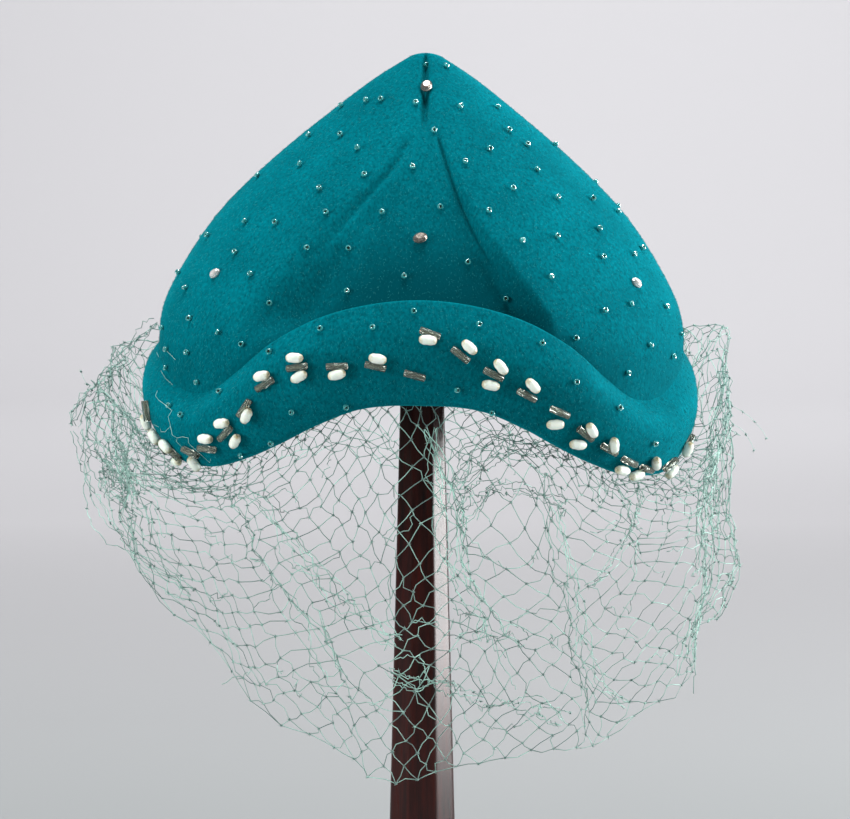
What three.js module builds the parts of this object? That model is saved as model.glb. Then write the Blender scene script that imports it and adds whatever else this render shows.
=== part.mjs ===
// A woman's peaked felt cap with a turned-up cuff, rice pearls, two cut stones and a net veil,
// on a plain eight-sided wooden post stand. Millimetres, +Z up, the face side of the hat towards -Y.
// The origin is the middle of the stand's underside, and the peak of the crown is above it.
import * as THREE from 'three';

// Stand: a tapered eight-sided post on an eight-sided foot. Widths are from corner to corner.
const FOOT_ACROSS = 136;
const FOOT_TOP_ACROSS = 126;
const FOOT_HEIGHT = 16;
const POST_FOOT_ACROSS = 26;
const POST_TOP_ACROSS = 10;
const POST_TOP = 306.6;
const POST_SIDES = 8;

// Hat: heights are measured from the lowest points of the cuff, beside the temples.
const HAT_LIFT = 175;
const HAT_SHIFT = 1.3;
const HAT_ROLL_DEG = 0.9;
const PEAK_HEIGHT = 138;
const CROWN_TOP_RING = 137;
const CROWN_FELT = 2.2;
const CUFF_FELT = 2;
const CUFF_TURN_IN = 9;
const GAP = 0.3;
const EDGE_GAP = 0.8;
const TURN_IN_GAP = 0.7;
const NET_GAP = 0.8;
const TRIM_GAP = 0.15;

// Folds of the crown's front: a sewn dart under the peak, and a panel that is set back between a soft tuck
// on the -X side and a sharp one on the +X side.
const DART_DEPTH = 2.6;
const DART_WIDTH = 2;
const DART_ENDS = [111, 122];
const PANEL_DEPTH = 8;
const PANEL_FOOT = [36, 52];
const PANEL_END = [56, 114];
const LEFT_TUCK_WIDTH = 12;
const RIGHT_TUCK_WIDTH = 5;

// The cuff's fold hangs lower on the +X side: by how much, at which angle and how far round it.
const DIP_DEPTH = 6;
const DIP_ANGLE = 88;
const DIP_WIDTH = 22;

// Veil: a gathered net, sewn inside the cuff.
const NET_THICKNESS = 1;
const NET_COLUMNS = 22;
const NET_ROWS = 5;
const NET_HEADING = 9;
const NET_FOOT = 2;
const NET_INSET = -(CROWN_FELT + TURN_IN_GAP + CUFF_FELT + NET_GAP + NET_THICKNESS / 2);
const NET_BELLY_AT = 0.5;
const HEM_TILT = 30;
const RUFFLE_STARTS = [0, 0.4];
const PUFF_SPAN = [0.05, 0.85];
const PULL_DEPTH = 6;
const PULL_ANGLE = 95;
const PULL_WIDTH = 35;
const HOLE_SHARE = 0.86;
const STRAND_STEPS = 2;

// Trim sewn to the felt.
const PEARL_LENGTH = 5.9;
const PEARL_THICKNESS = 3.3;
const STONE_LENGTH = 5;
const STONE_WIDTH = 3.8;
const STONE_DEPTH = 2.2;

// Level sections of the crown: reach from the peak's axis to each side, and the places of the tucks.
const CROWN_SECTIONS = [
  { height: 0, side: 84, front: 75, back: 106, fullness: 2.2, tuckLeft: 50, tuckRight: 44 },
  { height: 20, side: 86.5, front: 76, back: 108, fullness: 2.2, tuckLeft: 48, tuckRight: 40 },
  { height: 40, side: 88.8, front: 75, back: 108.5, fullness: 2.2, tuckLeft: 45, tuckRight: 36 },
  { height: 52, side: 87.4, front: 71.5, back: 106.5, fullness: 2.1, tuckLeft: 43, tuckRight: 31 },
  { height: 68, side: 79.6, front: 63.5, back: 101, fullness: 2.05, tuckLeft: 35, tuckRight: 22 },
  { height: 86, side: 66.9, front: 51.5, back: 89, fullness: 2, tuckLeft: 22, tuckRight: 13 },
  { height: 103, side: 49.6, front: 38.5, back: 70, fullness: 1.9, tuckLeft: 8, tuckRight: 7 },
  { height: 118, side: 31.6, front: 25, back: 46, fullness: 1.85, tuckLeft: 3, tuckRight: 3 },
  { height: 130, side: 16, front: 13, back: 22, fullness: 1.8, tuckLeft: 1, tuckRight: 1 },
  { height: 137, side: 5, front: 4.5, back: 5.5, fullness: 2, tuckLeft: 0, tuckRight: 0 },
];

// The cuff round half the hat, by angle from the middle of the front: the height of its fold, its own
// height, its bulge at mid height, and how far its upper edge stands off the crown.
const CUFF_SECTIONS = [
  { angle: 0, fold: 23.5, height: 34.2, bulge: 3, lean: 7 },
  { angle: 15, fold: 21.8, height: 33.7, bulge: 3, lean: 7 },
  { angle: 26, fold: 15.8, height: 34.8, bulge: 3.5, lean: 6.4 },
  { angle: 35, fold: 9.6, height: 33.4, bulge: 4, lean: 5 },
  { angle: 44, fold: 4.4, height: 28.6, bulge: 4.5, lean: 3.2 },
  { angle: 55, fold: 0.5, height: 24.6, bulge: 5, lean: 1.5 },
  { angle: 66, fold: 1, height: 24.3, bulge: 5.2, lean: 0.6 },
  { angle: 77, fold: 4.4, height: 27, bulge: 5, lean: 0.3 },
  { angle: 90, fold: 9.5, height: 27, bulge: 5, lean: 0.3 },
  { angle: 120, fold: 24, height: 21, bulge: 4.5, lean: 0.3 },
  { angle: 150, fold: 36, height: 16, bulge: 3.5, lean: 0.3 },
  { angle: 180, fold: 40, height: 15, bulge: 3.5, lean: 0.3 },
];

// The veil round half the hat: how far it billows out past the crown, the height of its hem, how far the
// hem curls back in, the depth of its ruffles, how late it drops (1 falls straight), and how far the
// springy net puffs up before it drops.
const VEIL_SECTIONS = [
  { angle: 0, reach: 6, hem: -100, curl: 10, ruffle: 3, lateness: 1, puff: 0 },
  { angle: 25, reach: 8, hem: -87, curl: 10, ruffle: 4, lateness: 1, puff: 0 },
  { angle: 45, reach: 13, hem: -77, curl: 10, ruffle: 5, lateness: 1.1, puff: 2 },
  { angle: 65, reach: 20, hem: -58, curl: 8, ruffle: 6, lateness: 1.3, puff: 8 },
  { angle: 90, reach: 26, hem: -38, curl: 6, ruffle: 6, lateness: 1.5, puff: 22 },
  { angle: 120, reach: 31, hem: -24, curl: 4, ruffle: 6, lateness: 1.7, puff: 26 },
  { angle: 150, reach: 31, hem: -16, curl: 2, ruffle: 6, lateness: 1.7, puff: 22 },
  { angle: 180, reach: 30, hem: -12, curl: 2, ruffle: 6, lateness: 1.7, puff: 18 },
];

// Rice pearls on the cuff: angle from the middle of the front (positive is +X), share of the cuff's
// height, and turn from level.
const PEARLS = [
  { angle: -78, level: 0.32, turn: 80 },
  { angle: -74, level: 0.22, turn: -60 },
  { angle: -66, level: 0.25, turn: -45 },
  { angle: -65, level: 0.06, turn: 0 },
  { angle: -57, level: 0.09, turn: -80 },
  { angle: -50, level: 0.36, turn: 0 },
  { angle: -45, level: 0.45, turn: 10 },
  { angle: -43, level: 0.22, turn: 55 },
  { angle: -39, level: 0.4, turn: 58 },
  { angle: -35, level: 0.68, turn: 15 },
  { angle: -28, level: 0.69, turn: 0 },
  { angle: -27, level: 0.51, turn: 28 },
  { angle: -19, level: 0.41, turn: 15 },
  { angle: -10, level: 0.48, turn: -10 },
  { angle: 1.5, level: 0.63, turn: -5 },
  { angle: 11, level: 0.6, turn: -42 },
  { angle: 18, level: 0.49, turn: -50 },
  { angle: 16, level: 0.3, turn: -12 },
  { angle: 25, level: 0.43, turn: -45 },
  { angle: 31, level: 0.19, turn: 3 },
  { angle: 39, level: 0.31, turn: -55 },
  { angle: 37, level: 0.12, turn: -5 },
  { angle: 45, level: 0.28, turn: -72 },
  { angle: 50, level: 0.06, turn: -10 },
  { angle: 59, level: 0.22, turn: -50 },
  { angle: 55, level: 0.05, turn: 15 },
  { angle: 71, level: 0.06, turn: 50 },
  { angle: 75, level: 0.26, turn: -70 },
];

// The cut stones on the crown's front: angle from its middle, height, turn from level, and how deep each
// sits in the felt's fold.
const STONES = [
  { name: 'stone_peak', angle: 1, height: 126.5, turn: 70, sink: 0.7 },
  { name: 'stone_front', angle: -1, height: 79, turn: 20, sink: 4.4 },
];

const FELT_TEAL = new THREE.MeshStandardMaterial({ color: 0x0a7f86, roughness: 0.95, metalness: 0 });
const NET_GREEN = new THREE.MeshStandardMaterial({ color: 0x5f9f86, roughness: 0.8, metalness: 0 });
const PEARL_WHITE = new THREE.MeshStandardMaterial({ color: 0xf2ead6, roughness: 0.3, metalness: 0 });
const STONE_CLEAR = new THREE.MeshStandardMaterial({ color: 0xd9d0cc, roughness: 0.1, metalness: 0 });
const WOOD_BROWN = new THREE.MeshStandardMaterial({ color: 0x3a1512, roughness: 0.4, metalness: 0 });

const { smoothstep } = THREE.MathUtils;
const SMALL_ANGLE = 0.5;
const SMALL_HEIGHT = 0.2;
const SMALL_SHARE = 0.01;

// A reader of a table's columns at any value of its key column, on a smooth curve through the rows.
function reader(rows, key, ending) {
  const columns = Object.keys(rows[0]).filter((name) => name !== key);
  const places = rows.map((row) => row[key]);
  const values = rows.flatMap((row) => columns.map((name) => row[name]));
  const curve = new THREE.CubicInterpolant(places, values, columns.length);
  curve.settings = { endingStart: ending, endingEnd: ending };
  return (at) => {
    const found = curve.evaluate(at);
    return Object.fromEntries(columns.map((name, i) => [name, found[i]]));
  };
}

const crownAt = reader(CROWN_SECTIONS, 'height', THREE.ZeroCurvatureEnding);
const cuffHalf = reader(CUFF_SECTIONS, 'angle', THREE.ZeroSlopeEnding);
const veilHalf = reader(VEIL_SECTIONS, 'angle', THREE.ZeroSlopeEnding);

// The angle folded on to the half of the hat that the tables describe.
function halfAngle(angle) {
  const turned = THREE.MathUtils.euclideanModulo(angle, 360);
  return Math.min(turned, 360 - turned);
}

const bump = (distance, width) => Math.exp(-((distance / width) ** 2));

// The veil at an angle. It is pulled in on the +X side.
function veilAt(angle) {
  const half = veilHalf(halfAngle(angle));
  const turned = THREE.MathUtils.euclideanModulo(angle, 360);
  return { ...half, reach: half.reach - PULL_DEPTH * bump(turned - PULL_ANGLE, PULL_WIDTH) };
}

// The cuff at an angle. Where its fold dips, its upper edge stays.
function cuffAt(angle) {
  const half = cuffHalf(halfAngle(angle));
  const turned = THREE.MathUtils.euclideanModulo(angle, 360);
  const dip = DIP_DEPTH * bump(turned - DIP_ANGLE, DIP_WIDTH);
  return { ...half, fold: half.fold - dip, height: half.height + dip };
}

// A step from 0 to 1 across a tuck.
const tuck = (across, middle, width) => smoothstep(across, middle - width / 2, middle + width / 2);

// How far the dart and the panel set the front of the crown back, at a place across and up it.
function crownDent(across, height, section) {
  const dart = DART_DEPTH * bump(across, DART_WIDTH) * smoothstep(height, ...DART_ENDS);
  const left = tuck(across, -section.tuckLeft, LEFT_TUCK_WIDTH);
  const right = 1 - tuck(across, section.tuckRight, RIGHT_TUCK_WIDTH);
  const fade = smoothstep(height, ...PANEL_FOOT) * (1 - smoothstep(height, ...PANEL_END));
  return dart + PANEL_DEPTH * left * right * fade;
}

// How far the crown reaches from the axis. Each level section is an oval of two halves.
function crownReach(angle, height) {
  const section = crownAt(height);
  const turn = THREE.MathUtils.degToRad(angle);
  const depth = Math.cos(turn) > 0 ? section.front : section.back;
  const n = section.fullness;
  return (Math.abs(Math.sin(turn) / section.side) ** n + Math.abs(Math.cos(turn) / depth) ** n) ** (-1 / n);
}

function polar(angle, reach, height) {
  const turn = THREE.MathUtils.degToRad(angle);
  return new THREE.Vector3(reach * Math.sin(turn), -reach * Math.cos(turn), height);
}

// A point of the crown's outer face before it is folded.
function crownOval(angle, height) {
  return polar(angle, crownReach(angle, height), height);
}

// A point of the crown's outer face, with the folds of its front.
function crownPoint(angle, height) {
  const reach = crownReach(angle, height);
  const turn = THREE.MathUtils.degToRad(angle);
  const dent = Math.cos(turn) > 0 ? crownDent(reach * Math.sin(turn), height, crownAt(height)) : 0;
  return polar(angle, reach - dent, height);
}

// The way round a face, at an angle and a second place on it.
function wayRound(face, angle, place) {
  return face(angle + SMALL_ANGLE, place).sub(face(angle - SMALL_ANGLE, place)).normalize();
}

// The way out of a face, from its slopes round it and up it.
function wayOut(face, angle, place, upStep) {
  const upwards = face(angle, place + upStep).sub(face(angle, place - upStep));
  return wayRound(face, angle, place).cross(upwards).normalize();
}

// A point level with the crown's unfolded face, a distance out from it.
function beside(angle, height, offset) {
  const around = wayRound(crownOval, angle, height);
  return crownOval(angle, height).addScaledVector(new THREE.Vector3(around.y, -around.x, 0), offset);
}

// Angles of the columns: close together over the folds of the front, wider round the rest.
function columnAngles() {
  const FRONT = 80;
  const FRONT_STEP = 5;
  const REST_STEPS = 21;
  const restStep = (360 - 2 * FRONT) / REST_STEPS;
  const front = Array.from({ length: (2 * FRONT) / FRONT_STEP }, (_, i) => -FRONT + i * FRONT_STEP);
  const rest = Array.from({ length: REST_STEPS }, (_, i) => FRONT + i * restStep);
  return [...front, ...rest];
}

// One closed skin over columns of points that stand in a ring. A column is a loop, or it starts and ends
// at points that all columns share.
function skin(columns, loop) {
  const count = columns[0].length;
  const points = columns.flat();
  const indices = [];
  columns.forEach((_, i) => {
    const here = i * count;
    const next = ((i + 1) % columns.length) * count;
    for (let j = 0; j < (loop ? count : count - 1); j++) {
      const k = (j + 1) % count;
      if (!points[here + j].equals(points[next + j])) indices.push(here + j, next + j, next + k);
      if (!points[here + k].equals(points[next + k])) indices.push(here + j, next + k, here + k);
    }
  });
  return new THREE.BufferGeometry().setFromPoints(points).setIndex(indices);
}

// The crown: down the inner face from the peak to the edge inside the cuff, and up the outer face.
function crown() {
  const ROWS = 13;
  const EVENNESS = 1.25;
  const outerPeak = new THREE.Vector3(0, 0, PEAK_HEIGHT);
  const innerPeak = new THREE.Vector3(0, 0, PEAK_HEIGHT - CROWN_FELT);
  const column = (angle) => {
    const edge = cuffAt(angle).fold + CUFF_FELT + EDGE_GAP;
    const heights = Array.from({ length: ROWS }, (_, i) => {
      const share = 1 - (i / (ROWS - 1)) ** EVENNESS;
      return edge + (CROWN_TOP_RING - edge) * share;
    });
    const outer = heights.map((height) => crownPoint(angle, height));
    const inner = heights.map((height, i) =>
      outer[i].clone().addScaledVector(wayOut(crownPoint, angle, height, SMALL_HEIGHT), -CROWN_FELT));
    return [innerPeak, ...inner, ...outer.reverse(), outerPeak];
  };
  return skin(columnAngles().map(column), false);
}

// How far the cuff's inner face stands off the crown, at a share of its height.
function cuffOffset(cuff, share) {
  return GAP + cuff.lean * share + cuff.bulge * Math.sin(Math.PI * share);
}

// A point on the cuff's outer face.
function cuffPoint(angle, share) {
  const cuff = cuffAt(angle);
  return beside(angle, cuff.fold + cuff.height * share, cuffOffset(cuff, share) + CUFF_FELT);
}

// The cuff: a hooked section that holds the crown's edge, turns in behind it and stands up before it.
function cuff() {
  const OUTER_SHARES = [0.05, 0.2, 0.42, 0.65, 0.85, 0.97];
  const INNER_SHARES = [0.97, 0.55, 0.15];
  const BACK = -CROWN_FELT - TURN_IN_GAP;
  const ROLL_BACK_RISE = 0.25 * CUFF_FELT;
  const ROLL_FRONT_RISE = 0.4 * CUFF_FELT;
  const column = (angle) => {
    const here = cuffAt(angle);
    const at = (offset, rise) => beside(angle, here.fold + rise, offset);
    return [
      ...OUTER_SHARES.map((share) => cuffPoint(angle, share)),
      at(cuffOffset(here, 1) + CUFF_FELT / 2, here.height),
      ...INNER_SHARES.map((share) => at(cuffOffset(here, share), here.height * share)),
      at(GAP, CUFF_FELT),
      at(BACK, CUFF_FELT),
      at(BACK, CUFF_TURN_IN),
      at(BACK - CUFF_FELT, CUFF_TURN_IN),
      at(BACK - CUFF_FELT, CUFF_FELT),
      at(BACK - CUFF_FELT / 2, ROLL_BACK_RISE),
      at(-CROWN_FELT / 2, 0),
      at(CUFF_FELT, ROLL_FRONT_RISE),
    ];
  };
  return skin(columnAngles().map(column), true);
}

// How much lower than the table the hem hangs beside the face: lower on the +X side, higher on the other.
function hemTilt(angle) {
  const turn = THREE.MathUtils.degToRad(angle);
  return HEM_TILT * Math.sin(turn) ** 3 * (1 + Math.cos(turn)) / 2;
}

// A point of the veil's middle face. Drop 0 is the lower edge of its sewn heading, 1 is the hem, and a
// negative drop is up inside the cuff, where -1 is the heading's upper edge.
function veilPoint(angle, drop) {
  const start = cuffAt(angle).fold - NET_FOOT;
  if (drop <= 0) return beside(angle, start - drop * NET_HEADING, NET_INSET);
  const veil = veilAt(angle);
  const billow = Math.sin((Math.PI / 2) * Math.min(1, drop / NET_BELLY_AT));
  const curl = veil.curl * Math.max(0, (drop - NET_BELLY_AT) / (1 - NET_BELLY_AT)) ** 2;
  const wave = Math.cos(THREE.MathUtils.degToRad((NET_COLUMNS / 2) * angle));
  const ruffle = veil.ruffle * wave * smoothstep(drop, ...RUFFLE_STARTS);
  const offset = NET_INSET + (veil.reach - NET_INSET) * billow - curl + ruffle;
  const puff = veil.puff * Math.sin(Math.PI * smoothstep(drop, ...PUFF_SPAN)) ** 2;
  const fall = (start - veil.hem + hemTilt(angle)) * drop ** veil.lateness;
  return beside(angle, start, offset).setZ(start - fall + puff);
}

// The veil as one pierced sheet: a plain heading, a row of three-cornered gaps, then rows of diamonds.
function veil() {
  const step = 360 / NET_COLUMNS;
  const points = [];
  const corner = (column, row) => ({ angle: (column + (row % 2) / 2) * step, drop: row / NET_ROWS });
  const between = (a, b, share) => ({
    angle: THREE.MathUtils.lerp(a.angle, b.angle, share),
    drop: THREE.MathUtils.lerp(a.drop, b.drop, share),
  });
  const face = (place, side) => {
    const normal = wayOut(veilPoint, place.angle, place.drop, -SMALL_SHARE);
    return veilPoint(place.angle, place.drop).addScaledVector(normal, (side * NET_THICKNESS) / 2);
  };
  const quad = (a, b, c, d) => points.push(a, b, c, a, c, d);
  const sheet = (a, b, c, d) => {
    quad(face(a, 1), face(b, 1), face(c, 1), face(d, 1));
    quad(face(d, -1), face(c, -1), face(b, -1), face(a, -1));
  };
  const wall = (a, b) => quad(face(a, -1), face(b, -1), face(b, 1), face(a, 1));
  const strand = (a, b) =>
    Array.from({ length: STRAND_STEPS + 1 }, (_, i) => between(a, b, i / STRAND_STEPS));
  const cell = (corners) => {
    const share = 1 / corners.length;
    const middle = {
      angle: corners.reduce((sum, place) => sum + place.angle * share, 0),
      drop: corners.reduce((sum, place) => sum + place.drop * share, 0),
    };
    const rim = corners.flatMap((place, i) => strand(place, corners[(i + 1) % corners.length]).slice(0, -1));
    const hole = rim.map((place) => between(middle, place, HOLE_SHARE));
    rim.forEach((place, i) => {
      const next = (i + 1) % rim.length;
      sheet(place, rim[next], hole[next], hole[i]);
      wall(hole[next], hole[i]);
    });
  };
  const heading = (left, right) => {
    const under = strand(left, right);
    const over = under.map((place) => ({ angle: place.angle, drop: -1 }));
    for (let i = 0; i < STRAND_STEPS; i++) {
      sheet(over[i], under[i], under[i + 1], over[i + 1]);
      wall(over[i + 1], over[i]);
    }
  };
  const edge = (a, b) => strand(a, b).forEach((place, i, all) => i && wall(all[i - 1], place));
  for (let column = 0; column < NET_COLUMNS; column++) {
    heading(corner(column, 0), corner(column + 1, 0));
    cell([corner(column, 0), corner(column, 1), corner(column + 1, 0)]);
    for (let row = 0; row + 2 <= NET_ROWS; row++) {
      const shift = row % 2;
      const [left, right] = [corner(column + shift - 1, row + 1), corner(column + shift, row + 1)];
      const bottom = corner(column, row + 2);
      cell([corner(column, row), left, bottom, right]);
      if (row + 2 === NET_ROWS) {
        edge(left, bottom);
        edge(bottom, right);
      }
    }
  }
  return new THREE.BufferGeometry().setFromPoints(points);
}

// Lays a small piece on a face: its X level in the face and then turned, its Z out of the face.
function layOn(mesh, face, angle, place, upStep, turnDeg, clearance) {
  const out = wayOut(face, angle, place, upStep);
  const level = new THREE.Vector3(-out.y, out.x, 0).normalize();
  const along = level.applyAxisAngle(out, THREE.MathUtils.degToRad(turnDeg));
  const across = out.clone().cross(along);
  mesh.setRotationFromMatrix(new THREE.Matrix4().makeBasis(along, across, out));
  mesh.position.copy(face(angle, place)).addScaledVector(out, clearance);
  return mesh;
}

// A rice pearl on the cuff's outer face.
function pearl(name, { angle, level, turn }) {
  const SIDES = 10;
  const BANDS = 4;
  const shape = new THREE.SphereGeometry(PEARL_THICKNESS / 2, SIDES, BANDS);
  shape.rotateZ(Math.PI / 2).scale(PEARL_LENGTH / PEARL_THICKNESS, 1, 1);
  const mesh = named(name, shape, PEARL_WHITE);
  return layOn(mesh, cuffPoint, angle, level, SMALL_SHARE, turn, PEARL_THICKNESS / 2 + TRIM_GAP);
}

// An oval cut stone on the crown's front, with a flat table and eight facets round it.
function stone(name, { angle, height, turn, sink }) {
  const FACETS = 8;
  const profile = [[0, 0], [0.8, 0], [1, 0.4], [0.6, 1], [0, 1]];
  const shape = new THREE.LatheGeometry(profile.map(([x, y]) => new THREE.Vector2(x, y)), FACETS);
  shape.rotateX(Math.PI / 2).scale(STONE_LENGTH / 2, STONE_WIDTH / 2, STONE_DEPTH);
  const mesh = named(name, shape, STONE_CLEAR);
  return layOn(mesh, crownOval, angle, height, SMALL_HEIGHT, turn, TRIM_GAP - sink);
}

// An eight-sided piece of the stand, narrower at the top, with a flat towards the front.
function eightSided(name, topAcross, footAcross, from, to) {
  const turn = Math.PI / POST_SIDES;
  const size = [topAcross / 2, footAcross / 2, to - from];
  const shape = new THREE.CylinderGeometry(...size, POST_SIDES, 1, false, turn);
  shape.rotateX(Math.PI / 2).translate(0, 0, (from + to) / 2);
  return named(name, shape, WOOD_BROWN);
}

function named(name, shape, material) {
  const mesh = new THREE.Mesh(shape, material);
  mesh.name = name;
  return mesh;
}

const hat = new THREE.Group();
hat.add(named('crown', crown(), FELT_TEAL));
hat.add(named('cuff', cuff(), FELT_TEAL));
hat.add(named('veil', veil(), NET_GREEN));
PEARLS.forEach((place, i) => hat.add(pearl(`pearl_${String(i + 1).padStart(2, '0')}`, place)));
STONES.forEach((place) => hat.add(stone(place.name, place)));
hat.position.z = -PEAK_HEIGHT;

// The hat hangs a little off centre and out of level, turned about its peak, where the post holds it.
const seat = new THREE.Group();
seat.position.set(HAT_SHIFT, 0, HAT_LIFT + PEAK_HEIGHT);
seat.rotation.y = THREE.MathUtils.degToRad(HAT_ROLL_DEG);
seat.add(hat);

const group = new THREE.Group();
group.add(seat);
group.add(eightSided('stand_post', POST_TOP_ACROSS, POST_FOOT_ACROSS, FOOT_HEIGHT + GAP, POST_TOP));
group.add(eightSided('stand_foot', FOOT_TOP_ACROSS, FOOT_ACROSS, 0, FOOT_HEIGHT));

export default group;
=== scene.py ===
"""Surfaces and finishes of a woman's peaked felt cap with bead trim and a net veil, on its post stand.

The hat's tables are in millimetres and degrees: angles run from the middle of the face side towards +X, and
heights run up from the lowest points of the cuff. Meshes are in metres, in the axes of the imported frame.
"""
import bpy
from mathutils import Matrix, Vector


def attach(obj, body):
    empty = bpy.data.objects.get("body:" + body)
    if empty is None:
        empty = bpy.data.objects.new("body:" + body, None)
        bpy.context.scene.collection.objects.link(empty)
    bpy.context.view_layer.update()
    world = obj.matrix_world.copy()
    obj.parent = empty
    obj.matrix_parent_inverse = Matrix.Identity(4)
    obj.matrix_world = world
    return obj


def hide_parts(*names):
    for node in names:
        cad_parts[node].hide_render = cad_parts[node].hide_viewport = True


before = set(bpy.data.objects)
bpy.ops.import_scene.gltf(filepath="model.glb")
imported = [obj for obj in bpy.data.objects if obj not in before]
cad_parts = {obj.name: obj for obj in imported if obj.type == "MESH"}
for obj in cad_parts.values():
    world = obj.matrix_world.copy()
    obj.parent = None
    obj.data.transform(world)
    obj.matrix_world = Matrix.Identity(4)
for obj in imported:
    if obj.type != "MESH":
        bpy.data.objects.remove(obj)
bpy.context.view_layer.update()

from types import SimpleNamespace

import bpy
import numpy as np
from bpy.props import FloatProperty, FloatVectorProperty, IntProperty, PointerProperty

bl_info = {
    "name": "Veiled felt hat",
    "version": (1, 0, 0),
    "blender": (4, 5, 0),
    "location": "3D View > Sidebar > Veiled hat",
    "description": "Makes the felt, bead trim, net veil and post stand of a peaked cap",
    "category": "Mesh",
}

MM = 0.001
FULL_TURN = 360.0

# The hat's seat on the post, and the felt's walls and gaps.
HAT_LIFT = 175.0
HAT_SHIFT = 1.3
HAT_ROLL = np.radians(0.9)
PEAK_HEIGHT = 138.0
CROWN_TOP_RING = 137.0
CROWN_FELT = 2.2
CUFF_FELT = 2.0
CUFF_TURN_IN = 9.0
GAP = 0.3
EDGE_GAP = 0.8
TURN_IN_GAP = 0.7

# The crown's folds: a sewn dart under the peak, and a panel set back between a soft tuck on the -X side and
# a sharp one on the +X side. Each tuck ends in a groove, and the panel is hollowed behind the cuff.
DART_DEPTH = 5.0
DART_SHARE = 0.6
DART_WIDTH = 1.3
DART_ENDS = (110.0, 119.0)
PANEL_DEPTH = 8.0
PANEL_FOOT = (36.0, 52.0)
PANEL_END = (56.0, 114.0)
HOLLOW_DEPTH = 2.0
HOLLOW_END = (50.0, 76.0)
LEFT_TUCK_WIDTH = 18.0
RIGHT_TUCK_WIDTH = 2.5
RIGHT_TUCK_SLOPE = 0.7
RIGHT_TUCK_OUT = 0.1
LEFT_GROOVE_DEPTH = 1.6
LEFT_GROOVE_WIDTH = 2.0
LEFT_GROOVE_FOOT = (60.0, 90.0)
RIGHT_GROOVE_DEPTH = 2.0
RIGHT_GROOVE_WIDTH = 0.8
RIGHT_GROOVE_SHIFT = -1.0
RIGHT_GROOVE_FOOT = (58.0, 74.0)
GROOVE_END = (106.0, 112.0)

# Painted shade on the crown above the cuff's upper edge: how far it reaches up over the face, and up the
# crease all round. Each loses a share of its strength between two angles from the middle of the face.
PAINTED_SHADE_HEIGHT = 36.0
PAINTED_SHADE_LOSS = 0.65
PAINTED_SHADE_ANGLES = (14.0, 40.0)
CREASE_SHADE_HEIGHT = 11.0
CREASE_SHADE_LOSS = 0.8
CREASE_SHADE_ANGLES = (30.0, 60.0)

# The cuff's fold hangs lower on the +X side.
DIP_DEPTH = 6.0
DIP_ANGLE = 88.0
DIP_WIDTH = 22.0

# Between two angles the cuff starts to hug the crown: near its upper edge it closes on the crown, and the
# edge sinks into the nap. Its wall thins towards that edge, and thins more where it hugs the crown.
HUG_ANGLES = (30.0, 60.0)
HUG_SHARES = (0.7, 1.0)
HUG_SINK = 0.3
THIN_SHARES = (0.55, 1.0)
EDGE_THINNING = 0.25
HUG_THINNING = 0.6

# The veil's hang.
NET_FOOT = 2.0
NET_HEADING = 9.0
NET_INSET = -6.2
NET_PULL_ANGLE = 95.0
NET_PULL_WIDTH = 35.0
NET_PULL_DEPTH = 6.0
NET_BELLY_AT = 0.5
HEM_TILT = 30.0
NET_SPREAD = 20.0
RUFFLES = 11
NET_RUFFLE_SHARE = 0.5
RUFFLE_STARTS = (0.0, 0.4)
PUFF_SPAN = (0.05, 0.85)

# The net's waves and folds: where down the net the waves set in, how full they are over the face, how much
# fuller they get between two angles, how a fold begins and ends about its shares of the drop, and its grip.
WAVES_BEGIN = (0.02, 0.3)
FACE_FULLNESS = 0.6
SIDE_FULLNESS = 0.6
SIDE_ANGLES = (40.0, 85.0)
FOLD_BEGINS = (-0.1, 0.15)
FOLD_ENDS = (-0.15, 0.1)
FOLD_GRIP = 1.6

# The net's knots and threads: rows in the heading, rows where the knots' scatter sets in, the scatter, and
# how far threads bow. Only the front of the hem has a thread along it, and only the middle rows shed wisps.
HEADING_ROWS = 4
SCATTER_ROWS = (0, 4)
KNOT_SCATTER = 0.6
THREAD_BOW = 0.65
HEM_THREAD_ANGLE = 80.0
WISP_ROWS = slice(6, -4)
BUNCH_KNOT_STEP = 6
KNOT_SLIVERS = [(0.6, 0.4, 0.4), (1, 0.1, 0.1), (1, 0.1, 0.1)]

# Tones of the threads and knots, from dark at 0 to light at 1, and how far they vary.
THREAD_TONE = 0.4
TEMPLE_TONE = 1.0
KNOT_TONE = 0.2
TONE_SPREAD = 0.25

# Threads at the temples: their thickness as a share of the others', how far they lie above the felt, and
# how many pixels off the cuff a point may be seen and still lie on it.
TEMPLE_THREAD_SHARE = 0.42
TEMPLE_LIFT = 0.8
ON_CUFF_PIXELS = 4

# How far back the knots may be that carry loose threads and bunches.
LOOSE_DEPTH = 60.0
BUNCH_DEPTH = 40.0

# Steps of a face's two parameters that its slopes are measured over, and the span of the second one where
# places are looked for.
CROWN_STEPS = (0.5, 0.2)
CROWN_SPAN = (22.0, CROWN_TOP_RING - 1)
CUFF_STEPS = (0.5, 0.01)
CUFF_SPAN = (0.03, 0.97)

# A bugle bead's bore. A seed bead's bore, height and lift off the felt, as shares of its width.
BUGLE_BORE = 0.52
SEED_BORE = 0.42
SEED_HEIGHT = 0.66
SEED_LIFT = 0.45

# Seed beads behind: the angle where they begin, their distances from the cuff and from the top ring, their
# span on the cuff, and how many times more lie on the crown than on the cuff. Then how far all beads tilt.
BACK_ANGLE = 100.0
BACK_FOOT = 3.0
BACK_TOP = 4.0
BACK_CUFF_SPAN = (0.1, 0.9)
BACK_CUFF_PART = 6
SEED_TILT = 0.35

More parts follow.
